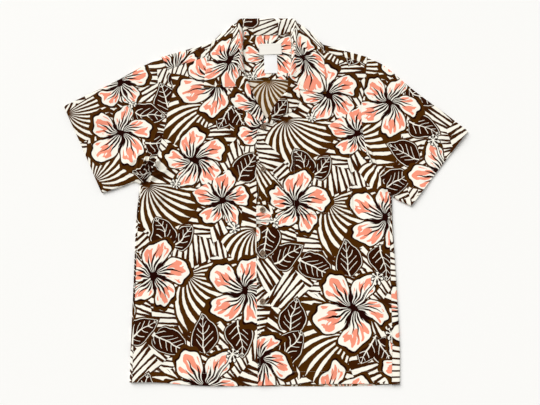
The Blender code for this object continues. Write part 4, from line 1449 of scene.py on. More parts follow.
def yoke_outer_place(column, row, face):
    if row <= YOKE_FLAT_ROWS:
        spot = yoke_spot(column, row, 0.0, GAP / 2)
        return lifted(spot, face * SHEET)
    side, _ = yoke_side(column)
    from_arm = column if side == "right" else YOKE_COLUMNS - column
    share = min(from_arm / YOKE_WING_COLUMNS, 1.0)
    x = mix(SHOULDERS[side].arm_x, STRIP_NECK_X[side], share)
    inward = (shoulder_point(side, x, 1.0) - shoulder_point(side, x, 0.0)).normalized()
    radius = FOLD_RADIUS - face * SHEET
    if row <= YOKE_FLAT_ROWS + 1:
        return turned(shoulder_point(side, x, 0.0), inward, math.pi * (row - YOKE_FLAT_ROWS), radius)
    start = shoulder_point(side, x, FOLD_RADIUS)
    arm_x = armhole_point(side, SHOULDERS[side].seam_arm_y, -GAP / 2).x
    seam_x = mix(arm_x, STRIP_NECK_X[side], share)
    seam = Vector((seam_x, shoulder_seam_y(side, seam_x) + GAP / 2))
    spot = start.lerp(seam, row - YOKE_FLAT_ROWS - 1)
    return lifted(spot, plain_top(spot.x, spot.y) - face * SHEET)


def yoke_chart(column, row):
    """Flat cloth beyond the shoulder fold carries on from it."""
    flat = yoke_spot(column, min(row, YOKE_FLAT_ROWS), 0.0, 0.0)
    beyond = max(row - YOKE_FLAT_ROWS, 0.0)
    strip = min(beyond, 1.0) * math.pi * FOLD_RADIUS
    if beyond > 1.0:
        start = yoke_outer_place(column, YOKE_FLAT_ROWS + 1, 0)
        strip += (yoke_outer_place(column, row, 0) - start).length
    return on_bolt("yoke_outer", flat.x, flat.y + strip)


def yoke_unused(column, row):
    in_neck = YOKE_WING_COLUMNS <= column < YOKE_COLUMNS - YOKE_WING_COLUMNS
    return row >= YOKE_FLAT_ROWS and in_neck


yoke_columns = steps((0.0, 1.0, 12), (1.0, 5.0, 36), (5.0, 10.0, 24), (10.0, 14.0, 36), (14.0, 15.0, 12))
yoke_outer = cloth(
    "yoke_outer",
    yoke_columns,
    steps((0.0, 3.0, 24), (3.0, 4.0, 8), (4.0, 5.0, 9)),
    yoke_outer_place,
    yoke_chart,
    OUTER_IS_FACE_0,
    yoke_unused,
)


def yoke_inner_place(column, row, face):
    spot = yoke_spot(column, row, 1.5, -1.0)
    fall = 0.25 * abs(ripple(spot.x, spot.y, 34.0, 3.0))
    return lifted(spot, LAYER + CLOTH - (1 - face) * SHEET - fall)


def yoke_inner_chart(column, row):
    spot = yoke_spot(column, row, 1.5, -1.0)
    return on_bolt("yoke_inner", spot.x, spot.y)


yoke_inner = cloth(
    "yoke_inner",
    yoke_columns,
    steps((0.0, 3.0, 26)),
    yoke_inner_place,
    yoke_inner_chart,
    OUTER_IS_FACE_1,
)

# %% [markdown]
# ## Fronts
#
# Each front runs from its closure edge to the side seam and the armhole. Its hem is folded double,
# which lifts the cloth a little, and a row of stitches pulls it down again at the fold's upper
# edge.

# %% Fronts
HEM_DEPTH = 25.0
HEM_LIFT = 0.5
HEM_STEP = 1.5  # the lift fades over this distance on each side of the fold's upper edge
STITCH_INSET = 2.0  # from a hem's folded edge to its stitches
STITCH_DIP = 0.35
STITCH_DIP_REACH = 2.2
DEEPEST_SEAM = -0.25
PUCKER_HEIGHT = 0.28
PUCKER_LENGTH = 6.5  # of one wave, along the stitches
PUCKER_WIDTH = 14.0
PUCKER_REACH = 9.0  # how far from the stitches the waves fade out
NOT_NEAR = 60.0


def front_outer(side, row):
    """The side seam, the armhole and, at the last row, the forward shoulder seam."""
    if row <= BODY_ROWS:
        y = body_y(side, row)
        return Vector((read(SIDES[side], y, "seam") - outward(side) * GAP / 2, y))
    end = armhole_point(side, armhole_y(side, row - BODY_ROWS), -GAP / 2)
    return end - Vector((0.0, GAP / 2)) * max(row - FRONT_ROWS + 1.0, 0.0)


def front_inner(side, row):
    """The closure, the lapel's turning line and the neck edge."""
    lapel_low, lapel_high = LAPEL_Y[side]
    above = row - BODY_ROWS
    if above <= 0:
        y = body_y(side, row)
    elif above <= LAPEL_START_ROW:
        y = mix(underarm_y(side), lapel_low, above / LAPEL_START_ROW)
    elif above <= LAPEL_END_ROW:
        y = mix(lapel_low, lapel_high, (above - LAPEL_START_ROW) / (LAPEL_END_ROW - LAPEL_START_ROW))
    else:
        top_y = SHOULDERS[side].seam_neck_y - GAP / 2
        y = mix(lapel_high, top_y, (above - LAPEL_END_ROW) / (FRONT_ROWS - BODY_ROWS - LAPEL_END_ROW))
    return Vector((read(FRONT_EDGES[side], y, "x"), y))


def doubled(distance, depth):
    """Lift of a folded hem at this distance from the edge, with the dip of its stitching."""
    lift = HEM_LIFT * ramp(distance, depth + HEM_STEP, depth - HEM_STEP)
    from_stitches = abs(distance - depth + STITCH_INSET)
    return lift - STITCH_DIP * ramp(from_stitches, STITCH_DIP_REACH, 0.0)


def pucker(along_seam, distance):
    """Small waves beside a line of stitches."""
    wave = noise.noise(Vector((along_seam / PUCKER_LENGTH, distance / PUCKER_WIDTH, 7.0)))
    return PUCKER_HEIGHT * ramp(distance, PUCKER_REACH, 0.0) * wave


def front_relief(side, x, y):
    """What stitching adds to a front: its hem, its closure edge and the seams beside it."""
    from_hem = y - HEM_Y
    from_edge = abs(x - read(FRONT_EDGES[side], y, "x"))
    from_arm = abs(x - read(ARMHOLES[side], y, "x")) if y > underarm_y(side) else NOT_NEAR
    height = doubled(from_hem, HEM_DEPTH) + pucker(x, abs(from_hem - HEM_DEPTH))
    height += pucker(y, from_arm) * 1.4
    if side == "left" and y < OVERLAP_FADE_Y[1]:
        height += 0.3 * ramp(from_edge, 4.0, 0.0) + pucker(y, abs(from_edge - 5.0))
    return max(height, DEEPEST_SEAM)


def front_surface(side, x, y):
    """A point of a front's upper face."""
    rise = hem_rise(x, y, "rise") + hem_rise(x, y, "front_rise")
    return Vector((x, y + rise, top(side, x, y) + front_relief(side, x, y)))


def front_place(side):
    def place(column, row, face):
        spot = front_inner(side, row).lerp(front_outer(side, row), column)
        return front_surface(side, spot.x, spot.y) - Vector((0.0, 0.0, (1 - face) * SHEET))

    return place


def front_chart(side):
    def chart(column, row):
        spot = front_inner(side, row).lerp(front_outer(side, row), column)
        return on_bolt(f"front_{side}", *before_folding(spot.x, spot.y))

    return chart


front_rows = steps((0.0, 1.0, 14), (1.0, 9.0, 84), (9.0, BODY_ROWS, 32), (BODY_ROWS, FRONT_ROWS, 124))
fronts = {}
for side in SIDE_NAMES:
    fronts[side] = cloth(
        f"front_{side}",
        steps((0.0, 0.08, 10), (0.08, 0.7, 48), (0.7, 1.0, 42)),
        front_rows,
        front_place(side),
        front_chart(side),
        OUTER_IS_FACE_1,
    )

# %% [markdown]
# ## Sleeves
#
# A sleeve is one panel rolled into a flat tube. Its grid runs round the tube: half the underarm
# fold, the lower layer, the top fold, the upper layer, and the other half of the underarm fold.

# %% Sleeves
SLEEVE_LAYER = ARMHOLE_ROWS + 2
SLEEVE_HEM_DEPTH = 23.0


def sleeve_folds(side, t):
    table = SLEEVES[side]
    high = Vector((read(table, t, "top_x"), read(table, t, "top_y")))
    low = Vector((read(table, t, "under_x"), read(table, t, "under_y")))
    return low, high


def sleeve_spot(side, station, t):
    """Plan position of a seam station, from the underarm fold's tangent to the top fold's."""
    low, high = sleeve_folds(side, t)
    up = (high - low).normalized()
    first = armhole_y(side, 0)
    share = (armhole_y(side, station) - first) / (armhole_y(side, SLEEVE_LAYER) - first)
    straight = (low + up * FOLD_RADIUS).lerp(high - up * FOLD_RADIUS, share)
    low_0, high_0 = sleeve_folds(side, 0.0)
    seam = armhole_point(side, armhole_y(side, station), GAP / 2)
    corner = low_0 + (high_0 - low_0).normalized() * FOLD_RADIUS
    seam = corner.lerp(seam, ease(station * 2.5))
    if t == 0.0:
        return seam
    bow = seam - low_0.lerp(high_0, share)
    return straight + bow * (1.0 - t) ** 2


def sleeve_relief(side, spot):
    """The folded hem of a sleeve and the puckers where it is set in."""
    low, high = sleeve_folds(side, 1.0)
    line = (high - low).normalized()
    from_hem = abs((spot - low).cross(line))
    from_seam = abs(spot.x - read(ARMHOLES[side], spot.y, "x"))
    along_hem = (spot - low).dot(line)
    height = doubled(from_hem, SLEEVE_HEM_DEPTH) + pucker(along_hem, abs(from_hem - SLEEVE_HEM_DEPTH))
    return max(height + pucker(spot.y, from_seam) * 1.6, DEEPEST_SEAM)


def sleeve_place(side):
    def place(column, row, face):
        """column: 0 to 1 half the underarm fold, to 2 the lower layer, to 3 the top fold, to 4 the upper
        layer, to 5 the other half of the underarm fold."""
        low, high = sleeve_folds(side, row)
        up = (high - low).normalized()
        radius = FOLD_RADIUS - face * SHEET
        if column <= 1.0:
            point = turned(low, up, math.pi * 0.5 * (1.0 - column), radius)
            point.z -= GAP / 2 if column == 0.0 else 0.0
            return point
        if column <= 2.0:
            flat = sleeve_spot(side, (column - 1.0) * SLEEVE_LAYER, row)
            return lifted(flat, face * SHEET)
        if column < 3.0:
            tangent = sleeve_spot(side, SLEEVE_LAYER, row)
            return turned(tangent + up * FOLD_RADIUS, -up, math.pi * (column - 2.0), radius)
        if column <= 4.0:
            flat = sleeve_spot(side, (4.0 - column) * SLEEVE_LAYER, row)
            edge = ease((column - 3.0) * 12.0) * ease((4.0 - column) * 12.0)
            z = plain_top(flat.x, flat.y) + sleeve_relief(side, flat) * edge
            return lifted(flat, z - face * SHEET)
        point = turned(low, up, math.pi * (1.0 - 0.5 * (column - 4.0)), radius)
        point.z += GAP / 2 if column == 5.0 else 0.0
        return point

    return place


def sleeve_chart(side):
    middle = SLEEVE_MIDDLE[side]
    _, fold_start = sleeve_folds(side, 0.0)
    _, fold_end = sleeve_folds(side, 1.0)
    run = (fold_end - fold_start).normalized()
    beyond_fold = Vector((-run.y, run.x)) * outward(side)

    def mirrored(spot):
        """The same spot of the lower layer, unrolled past the top fold."""
        to_fold = (fold_start - spot).dot(beyond_fold)
        return spot + beyond_fold * (2.0 * to_fold + (math.pi - 2.0) * FOLD_RADIUS)

    def chart(column, row):
        """The upper layer is charted as it lies, and the lower one is its mirror image past the fold."""
        quarter_turn = math.pi / 2.0 * FOLD_RADIUS
        if column <= 2.0:
            flat = sleeve_spot(side, SLEEVE_LAYER * max(column - 1.0, 0.0), row)
            spot = mirrored(flat) + beyond_fold * quarter_turn * max(1.0 - column, 0.0)
        elif column < 3.0:
            tangent = sleeve_spot(side, SLEEVE_LAYER, row)
            spot = mirrored(tangent).lerp(tangent, column - 2.0)
        else:
            flat = sleeve_spot(side, SLEEVE_LAYER * max(4.0 - column, 0.0), row)
            spot = before_folding(flat.x, flat.y) - beyond_fold * quarter_turn * max(column - 4.0, 0.0)
        return on_bolt(f"sleeve_{side}", *(spot - middle))

    return chart


sleeve_columns = steps(
    (0.0, 1.0, 4), (1.0, 2.0, 44), (2.0, 3.0, 8), (3.0, 3.7, 74), (3.7, 4.0, 48), (4.0, 5.0, 4)
)
sleeves = {}
for side in SIDE_NAMES:
    sleeves[side] = cloth(
        f"sleeve_{side}",
        sleeve_columns,
        steps((0.0, 0.35, 44), (0.35, 1.0, 44)),
        sleeve_place(side),
        sleeve_chart(side),
        OUTER_IS_FACE_0,
    )

# %% [markdown]
# ## Collar and lapels
#
# The collar's sections come from the table: foot, roll and edge. `patch` makes a smooth surface
# through a coarse net of points with Catmull-Rom curves both ways, so the fine collar passes
# through the same sections as the solid one.

# %% Smooth nets


def catmull(p0, p1, p2, p3, t):
    return (
        p1
        + (p2 - p0) * (t / 2)
        + (p0 * 2 - p1 * 5 + p2 * 4 - p3) * (t * t / 2)
        + (p1 * 3 - p0 - p2 * 3 + p3) * (t**3 / 2)
    )


def through(points, at):
    """A smooth curve through a list of points, at a whole or fractional index."""
    low = min(max(int(at), 0), len(points) - 2)
    before = points[max(low - 1, 0)]
    after = points[min(low + 2, len(points) - 1)]
    return catmull(before, points[low], points[low + 1], after, at - low)


def patch(net):
    """net[row][column] of points: a function of (column, row) that passes through all of them."""

    def surface(column, row):
        low = min(max(int(row), 0), len(net) - 2)
        around = [net[min(max(low + step, 0), len(net) - 1)] for step in (-1, 0, 1, 2)]
        return catmull(*(through(line, column) for line in around), row - low)

    return surface


def off_middle(surface, columns, rows, upward, column, row, face):
    """A point of a wall about a middle surface, moved along the surface's own normal. upward is 1 or -1:
    which way of the normal is up where the wall lies flat."""
    step = 0.05
    across = surface(min(column + step, columns), row) - surface(max(column - step, 0.0), row)
    lengthwise = surface(column, min(row + step, rows)) - surface(column, max(row - step, 0.0))
    normal = across.cross(lengthwise).normalized()
    return surface(column, row) + normal * upward * (face - 0.5) * SHEET


# %% Collar
COLLAR_COLUMNS = 12


def bent(start, corner, end, t, at):
    """A point of the path that reaches the corner at the fraction `at`."""
    if t < at:
        return start.lerp(corner, t / at)
    return corner.lerp(end, (t - at) / (1.0 - at))


def collar_middle(sections, column, row):
    section = sections[row]
    over = section.over
    foot = Vector((section.foot_x, section.foot_y))
    roll = Vector((section.roll_x, section.roll_y))
    edge = Vector((section.edge_x, section.edge_y))
    stand = (roll - foot).normalized()
    fall = (edge - roll).normalized()
    if column <= 3:
        t = column / 3
        spot = foot.lerp(roll, mix(t, t**2.2, over))
        height = mix(t**0.8, math.sin(t * math.pi / 2), over)
        return lifted(spot, mix(COLLAR_FOOT_Z, section.roll_z, height))
    away = -1.0 if roll.x < COLLAR_BACK.roll_x else 1.0
    bulge = Vector((-fall.y * away, fall.x * away)) * math.sin(over * math.pi) * COLLAR_TURN_BULGE
    if column == 4:
        spot = roll + (stand * 6.0).lerp(fall * 4.5, over) + bulge * 0.5
        return lifted(spot, mix(4.6, section.roll_z - 0.8, over))
    start = roll + stand.lerp(fall * 12.0, over) + bulge
    t = (column - 5) / (COLLAR_COLUMNS - 5)
    if row in (0, len(sections) - 1):
        spot = bent(start, COLLAR_NOTCH["right" if row == 0 else "left"], edge, t, COLLAR_NOTCH_AT)
    else:
        belly = bulge * math.sin(t * math.pi) * COLLAR_TURN_BELLY / COLLAR_TURN_BULGE
        spot = start.lerp(edge, t) + belly - bulge * t
    z = mix(mix(CLOTH / 2, section.roll_z - 2.8, over), section.edge_z, t ** mix(1.0, 0.6, over))
    if over == 1.0:
        z = max(z, plain_top(spot.x, spot.y) + RESTING_GAP + CLOTH / 2)
    return lifted(spot, z)


collar_sections = list(reversed(COLLAR_ENDS["right"])) + [COLLAR_BACK] + list(COLLAR_ENDS["left"])
COLLAR_ROWS = len(collar_sections) - 1
collar_net = [
    [collar_middle(collar_sections, column, row) for column in range(COLLAR_COLUMNS + 1)]
    for row in range(COLLAR_ROWS + 1)
]
collar_surface = patch(collar_net)
LYING_ROWS = 6  # from each end, the fall lies on the front for this many rows


def collar_place(column, row, face):
    point = off_middle(collar_surface, COLLAR_COLUMNS, COLLAR_ROWS, -1, column, row, face)
    lies = row < LYING_ROWS or row > COLLAR_ROWS - LYING_ROWS
    if lies and column > 5:
        crumple = 0.5 * ripple(point.x, point.y, 26.0, 5.0)
        floor_z = plain_top(point.x, point.y) + GAP + face * SHEET
        point.z = max(point.z + crumple * ramp(column, 5, 7), floor_z)
    elif column > 5:
        point.z = max(point.z, (1 - face) * SHEET)
    return point


collar_length = [0.0]
for before, after in zip(collar_net, collar_net[1:]):
    collar_length.append(collar_length[-1] + (after[3] - before[3]).length)


def collar_chart(column, row):
    low = min(int(row), COLLAR_ROWS - 1)
    length = mix(collar_length[low], collar_length[low + 1], row - low)
    across = 38.0 * min(column / 3, 1.0) + 9.0 * max(column - 3.0, 0.0)
    return on_bolt("collar", length, across)


collar = cloth(
    "collar",
    steps((0.0, 3.0, 9), (3.0, 5.0, 10), (5.0, 12.0, 24)),
    steps((0.0, 6.0, 60), (6.0, 20.0, 84), (20.0, 26.0, 60)),
    collar_place,
    collar_chart,
    BOTH_FACES,
)

# %% [markdown]
# A lapel is the top of a front turned back. Its net starts below the turning line, goes round it,
# and lies back on the front.

# %% Lapels
LAPEL_COLUMNS = 8
LAPEL_TURN = ((-1.5, 0.9), (-2.0, 3.1), (-0.2, 5.2), (3.2, 6.0))  # distance out and height round the turn
LAPEL_ROWS = LAPEL_END_ROW - LAPEL_START_ROW


def gorge_point(side, column):
    """The lapel's end is sewn to the collar's end, from the foot round the roll to the notch."""
    collar_row = 0 if side == "right" else COLLAR_ROWS
    along_collar = mix(0.3, 7.0, min(column / (LAPEL_COLUMNS - 1), 1.0))
    return collar_surface(along_collar, collar_row) - Vector((0.0, 0.2, 0.15))


def lapel_middle(side, column, row):
    if row == LAPEL_ROWS and column < LAPEL_COLUMNS:
        return gorge_point(side, column)
    roll = front_inner(side, BODY_ROWS + LAPEL_START_ROW + row)
    edge_points = [Vector(point) for point in LAPEL_EDGES[side]]
    edge = through(edge_points, row / LAPEL_ROWS * (len(edge_points) - 1))
    out = (edge - roll).normalized()
    if column < len(LAPEL_TURN):
        distance, height = LAPEL_TURN[column]
        spot = roll + out * distance
        base = roll
    else:
        share = (column - len(LAPEL_TURN) + 1) / (LAPEL_COLUMNS - len(LAPEL_TURN) + 1)
        spot = roll + out * mix(LAPEL_TURN[-1][0], (edge - roll).length, share)
        height = CLOTH + RESTING_GAP + CLOTH / 2 + LAPEL_LOFT * (1.0 - share) ** 1.6
        base = spot
    return lifted(spot, under(base.x, base.y) + front_lift(side, base.x, base.y) + height)


def make_lapel(side):
    net = [
        [lapel_middle(side, column, row) for column in range(LAPEL_COLUMNS + 1)]
        for row in range(LAPEL_ROWS + 1)
    ]
    surface = patch(net)

    def place(column, row, face):
        point = off_middle(surface, LAPEL_COLUMNS, LAPEL_ROWS, outward(side), column, row, face)
        if column > 3:
            crumple = 0.5 * ripple(point.x, point.y, 20.0, 9.0)
            floor_z = top(side, point.x, point.y) + GAP + face * SHEET
            point.z = max(point.z + crumple * ramp(column, 3, 5), floor_z)
        return point

    def chart(column, row):
        point = surface(max(column, 2.0), row)
        return on_bolt(f"lapel_{side}", point.x, point.y)

    piece = cloth(
        f"lapel_{side}",
        steps((0.0, 3.0, 12), (3.0, 8.0, 30)),
        steps((0.0, LAPEL_ROWS, 50)),
        place,
        chart,
        BOTH_FACES,
    )
    return piece, place


lapels = {}
lapel_places = {}
for side in SIDE_NAMES:
    lapels[side], lapel_places[side] = make_lapel(side)

# %% [markdown]
# ## Pocket, labels and buttons
#
# The pocket is cut so that its print meets the front's, so it uses the front's own chart. Its lower
# corners are cut off, and its opening edge is hemmed.

# %% Pocket
POCKET_HEM = 28.0
POCKET_LENGTH = 145.0


def pocket_spot(column, row):
    x = mix(*POCKET_X, column)
    low = POCKET_Y[0] + POCKET_CUT * ease(abs(column - 0.5) * 2.0 * 8.0 - 7.0)
    return x, mix(low, POCKET_Y[1], row)


def pocket_place(column, row, face):
    x, y = pocket_spot(column, row)
    from_side = min(x - POCKET_X[0], POCKET_X[1] - x, y - POCKET_Y[0])
    lift = 0.25 * ramp(abs(from_side), 3.0, 0.0) + doubled(POCKET_Y[1] - y, POCKET_HEM) * 0.7
    lift += 0.5 * (1.0 - abs(column - 0.5) * 2.0) * ramp(row, 0.5, 1.0)
    lift += pucker(x + y, min(abs(from_side - STITCH_INSET), PUCKER_REACH))
    return front_surface("left", x, y) + Vector((0.0, 0.0, GAP + max(lift, 0.0) + face * SHEET))


def pocket_chart(column, row):
    return on_bolt("front_left", *pocket_spot(column, row))


pocket = cloth(
    "pocket",
    steps((0.0, 0.08, 5), (0.08, 0.92, 30), (0.92, 1.0, 5)),
    steps((0.0, 0.08, 5), (0.08, 1.0, 42)),
    pocket_place,
    pocket_chart,
    OUTER_IS_FACE_1,
)

# %% [markdown]
# The labels are bare tape: woven satin with a folded edge at each end. Nothing is printed on them.

# %% Labels
LABEL_THICKNESS = 0.45
TAPES = {"neck_label": (0.90, 0.87, 0.80, 1.0), "care_label": (0.93, 0.925, 0.92, 1.0)}


def label_tape(name, colour):
    material, tree, shader = new_material(f"{name}_tape", colour, 0.5)
    shader.inputs["Sheen Weight"].default_value = 0.1
    shader.inputs["Specular IOR Level"].default_value = 0.3
    _, y, _ = parts_of(tree, cloth_place(tree))
    # painted shade: the tape is a little darker between its woven ribs
    ribs = (y * (math.tau / 0.7)).sin() * 0.5 + 0.5
    shade = tuple(value * 0.93 for value in colour[:3]) + (1.0,)
    tree.links.new(blend(tree, ribs, colour, shade), shader.inputs["Base Color"])
    weave_bump(tree, shader, thread=0.3, strength=0.2)
    return material


def label_place(label):
    turn = Matrix.Rotation(math.radians(label.turn_deg), 3, "Z")

    def place(column, row, face):
        flat = Vector((label.width * (column - 0.5), label.length * (row - 0.5), 0.0))
        spot = turn @ flat + Vector((label.x, label.y, 0.0))
        belly = 0.4 * math.sin(column * math.pi) * math.sin(row * math.pi)
        edge = min(row, 1.0 - row) * label.length
        folded_end = 0.25 * ramp(edge, 5.0, 4.0)
        spot.z = LAYER + CLOTH + GAP + belly + folded_end + face * LABEL_THICKNESS
        return spot

    return place


def make_label(label):
    def chart(column, row):
        return label.width * column, label.length * row

    tape = label_tape(label.name, TAPES[label.name])
    rows = steps((0.0, 0.2, 8), (0.2, 0.8, 8), (0.8, 1.0, 8))
    columns = steps((0.0, 1.0, 18))
    return cloth(label.name, columns, rows, label_place(label), chart, (tape, tape), slot="label_tape")


labels = {label.name: make_label(label) for label in LABELS}

# %% [markdown]
# A button is a spun profile with four holes, which the CAD button already is, so it stays and gets
# a mottled shell material.

# %% Buttons
SHELL_DARK = (0.105, 0.062, 0.034, 1.0)
SHELL_LIGHT = (0.36, 0.245, 0.155, 1.0)


def button_shell():
    material, tree, shader = new_material("button_shell", SHELL_DARK, 0.38)
    cloud, _ = noise_at(tree, solid_place(tree), 3.2, detail=4.0)
    cloud = ((cloud - 0.38) * 3.2).math("MULTIPLY", 1.0, clamp=True)
    tree.links.new(blend(tree, cloud, SHELL_DARK, SHELL_LIGHT), shader.inputs["Base Color"])
    shader.inputs["Coat Weight"].default_value = 0.25
    shader.inputs["Coat Roughness"].default_value = 0.2
    return material


shell = button_shell()
for number in range(1, len(BUTTONS) + 1):
    button = frame["nodes"][f"button_{number}"]
    button.data.materials.clear()
    button.data.materials.append(shell)
print(f"{len(BUTTONS)} buttons in shell")

# %% [markdown]
# ## Sewing
#
# A stitch is one grain of thread. `create_icosphere` without subdivision has 20 faces, and
# stretched along the seam it looks like a thread that dives into the cloth at both ends. Each seam
# is a line of points on a panel's own surface, so the stitches follow its folds. All the stitches
# of a piece are joined into one mesh.

# %% Stitches
STITCH = 2.9
STITCH_GAP = 0.7
THREAD_RADIUS = 0.24
THREAD_CREAM = (0.66, 0.59, 0.46, 1.0)
THREAD_BROWN = (0.10, 0.055, 0.025, 1.0)


def thread(name, colour):
    """Two-ply thread: its twist is a fine slanted wave of painted shade between the plies."""
    material, tree, shader = new_material(name, colour, 0.6)
    x, y, _ = parts_of(tree, solid_place(tree))
    twist = ((x + y) * (math.tau / 0.55)).sin() * 0.5 + 0.5
    # painted shade: a darker copy of the thread's colour in the grooves between the plies
    shade = tuple(value * 0.72 for value in colour[:3]) + (1.0,)
    tree.links.new(blend(tree, twist, colour, shade), shader.inputs["Base Color"])
    return material


def evenly(points, spacing):
    """Places at an even spacing along a line of points, each with the direction there."""
    spots = []
    travelled = 0.0
    due = spacing / 2
    for start, end in zip(points, points[1:]):
        run = end - start
        while run.length > 0.0 and travelled + run.length >= due:
            spots.append((start + run * ((due - travelled) / run.length), run.normalized()))
            due += spacing
        travelled += run.length
    return spots


def sewn(name, grains, material):
    """One mesh of thread grains: each is a middle, a direction and a length."""
    shape = bmesh.new()
    for middle, run, length in grains:
        turn = run.to_track_quat("X", "Z").to_matrix().to_4x4()
        size = Matrix.Diagonal((length / 2, THREAD_RADIUS, THREAD_RADIUS, 1.0))
        placed = Matrix.Translation(middle) @ turn @ size
        bmesh.ops.create_icosphere(shape, subdivisions=1, radius=1.0, matrix=placed)
    piece = finish_piece(name, shape, (), "printed_cotton", (material,))
    print(f"{name}: {len(grains)} stitches")
    return piece


def seam(*lines):
    """Grains of running stitch along each line of points."""
    grains = []
    for points in lines:
        for spot, run in evenly(points, STITCH + STITCH_GAP):
            grains.append((spot + Vector((0.0, 0.0, 0.08)), run, STITCH))
    return grains


CREAM_THREAD = thread("cream_thread", THREAD_CREAM)
BROWN_THREAD = thread("brown_thread", THREAD_BROWN)

# %% [markdown]
# Seams on the fronts: the hem, the closure edge and the buttonholes. A buttonhole is a slit with a
# close row of stitches on each side and a bar at each end.

# %% Seams on the fronts
HEM_STITCH = HEM_DEPTH - STITCH_INSET
EDGE_STITCH = 4.5
BUTTONHOLE_LENGTH = 17.0
BUTTONHOLE_STEP = 0.75
BUTTONHOLE_STITCH = 1.7
BUTTONHOLE_BAR = 3.6  # the bar across each end
ON_CLOTH = Vector((0.0, 0.0, 0.1))  # thread lies this much above the cloth
HOLES_APART = 4.4  # across a button, from hole to hole
BUTTON_FACE = 2.0  # height of a button's face
seams = {}


def across_front(side, y):
    """A line over a front at this height."""
    start = read(FRONT_EDGES[side], y, "x")
    end = read(SIDES[side], y, "seam") - outward(side)
    return [front_surface(side, mix(start, end, step / 80), y) for step in range(81)]


def down_front(side, inset):
    """A line beside a front's closure edge."""
    points = []
    for step in range(121):
        y = mix(HEM_Y + 2.0, LAPEL_Y[side][0] - 14.0, step / 120)
        x = read(FRONT_EDGES[side], y, "x") + outward(side) * inset
        points.append(front_surface(side, x, y))
    return points


def buttonhole(button):
    grains = []
    count = int(BUTTONHOLE_LENGTH / BUTTONHOLE_STEP)
    for step in range(count + 1):
        y = button.y - BUTTONHOLE_LENGTH / 2 + step * BUTTONHOLE_STEP
        for offset in (-1.0, 1.0):
            spot = front_surface("left", button.x + offset, y) + ON_CLOTH
            grains.append((spot, Vector((1.0, 0.12, 0.0)).normalized(), BUTTONHOLE_STITCH))
    for end in (-0.5, 0.5):
        y = button.y + end * (BUTTONHOLE_LENGTH + 1.6)
        spot = front_surface("left", button.x, y) + ON_CLOTH
        grains.append((spot, Vector((1.0, 0.0, 0.0)), BUTTONHOLE_BAR))
    return grains


def button_thread(button):
    """Two crossing bars of thread through the four holes."""
    middle = lifted(button, top("left", button.x, button.y) + GAP + BUTTON_FACE)
    turn = math.radians(button.turn_deg)
    grains = []
    for quarter in (45, 135):
        angle = turn + math.radians(quarter)
        run = Vector((math.cos(angle), math.sin(angle), 0.0))
        for beside in (-0.25, 0.25):
            aside = Vector((-run.y, run.x, 0.0)) * beside
            grains.append((middle + aside, run, HOLES_APART + 1.4))
    return grains


for side in SIDE_NAMES:
    lines = [across_front(side, HEM_Y + HEM_STITCH)]
    if side == "left":
        lines.append(down_front(side, EDGE_STITCH))
    seams[f"front_{side}"] = sewn(f"front_{side}_seams", seam(*lines), CREAM_THREAD)

buttonholes = [grain for button in BUTTONS for grain in buttonhole(button)]
seams["buttonholes"] = sewn("buttonholes", buttonholes, CREAM_THREAD)
button_threads = [grain for button in BUTTONS for grain in button_thread(button)]
seams["button_threads"] = sewn("button_threads", button_threads, BROWN_THREAD)

# %% Seams on the sleeves, collar, lapels, yoke and pocket
SLEEVE_STITCH = SLEEVE_HEM_DEPTH - STITCH_INSET
END_INSET = 0.35  # in rows, from the end of a collar or lapel to its stitches


def sleeve_hem_line(side):
    low, high = sleeve_folds(side, 1.0)
    line = high - low
    inward = Vector((line.y, -line.x)).normalized() * outward(side) * -SLEEVE_STITCH
    points = []
    for step in range(81):
        spot = low + line * mix(0.03, 0.97, step / 80) + inward
        points.append(lifted(spot, plain_top(spot.x, spot.y) + sleeve_relief(side, spot)))
    return points


def grid_line(place, start, end, count, face=1):
    """A line over a piece from one (column, row) to another."""
    return [
        place(mix(start[0], end[0], step / count), mix(start[1], end[1], step / count), face)
        for step in range(count + 1)
    ]


for side in SIDE_NAMES:
    seams[f"sleeve_{side}"] = sewn(f"sleeve_{side}_seams", seam(sleeve_hem_line(side)), CREAM_THREAD)
    low_end = (LAPEL_COLUMNS - 0.5, END_INSET)
    high_end = (LAPEL_COLUMNS - 0.5, LAPEL_ROWS - 0.3)
    edge = grid_line(lapel_places[side], low_end, high_end, 60)
    seams[f"lapel_{side}"] = sewn(f"lapel_{side}_seams", seam(edge), CREAM_THREAD)

collar_edge = COLLAR_COLUMNS - 0.5
collar_end = COLLAR_ROWS - END_INSET
collar_lines = (
    grid_line(collar_place, (5.8, END_INSET), (collar_edge, END_INSET), 40),
    grid_line(collar_place, (collar_edge, END_INSET), (collar_edge, 6.5), 80),
    grid_line(collar_place, (5.8, collar_end), (collar_edge, collar_end), 40),
    grid_line(collar_place, (collar_edge, collar_end), (collar_edge, COLLAR_ROWS - 6.5), 80),
)
seams["collar"] = sewn("collar_seams", seam(*collar_lines), CREAM_THREAD)


# topstitching just above each forward shoulder seam
strip_row = YOKE_FLAT_ROWS + 1.88
strip_lines = (
    grid_line(yoke_outer_place, (0.15, strip_row), (4.95, strip_row), 60, face=0),
    grid_line(yoke_outer_place, (10.05, strip_row), (14.85, strip_row), 60, face=0),
)
seams["yoke"] = sewn("yoke_seams", seam(*strip_lines), CREAM_THREAD)


def pocket_line(*stations):
    lines = []
    for start, end in zip(stations, stations[1:]):
        lines.extend(grid_line(pocket_place, start, end, 40))
    return lines


# down one side, round the cut corners and up the other side, then along the hem of the opening
pocket_seam = pocket_line(
    (0.018, 0.99), (0.018, 0.07), (0.09, 0.016), (0.91, 0.016), (0.982, 0.07), (0.982, 0.99)
)
hem_row = 1.0 - (POCKET_HEM - STITCH_INSET) / POCKET_LENGTH
pocket_hem = pocket_line((0.02, hem_row), (0.98, hem_row))
seams["pocket"] = sewn("pocket_seams", seam(pocket_seam, pocket_hem), CREAM_THREAD)

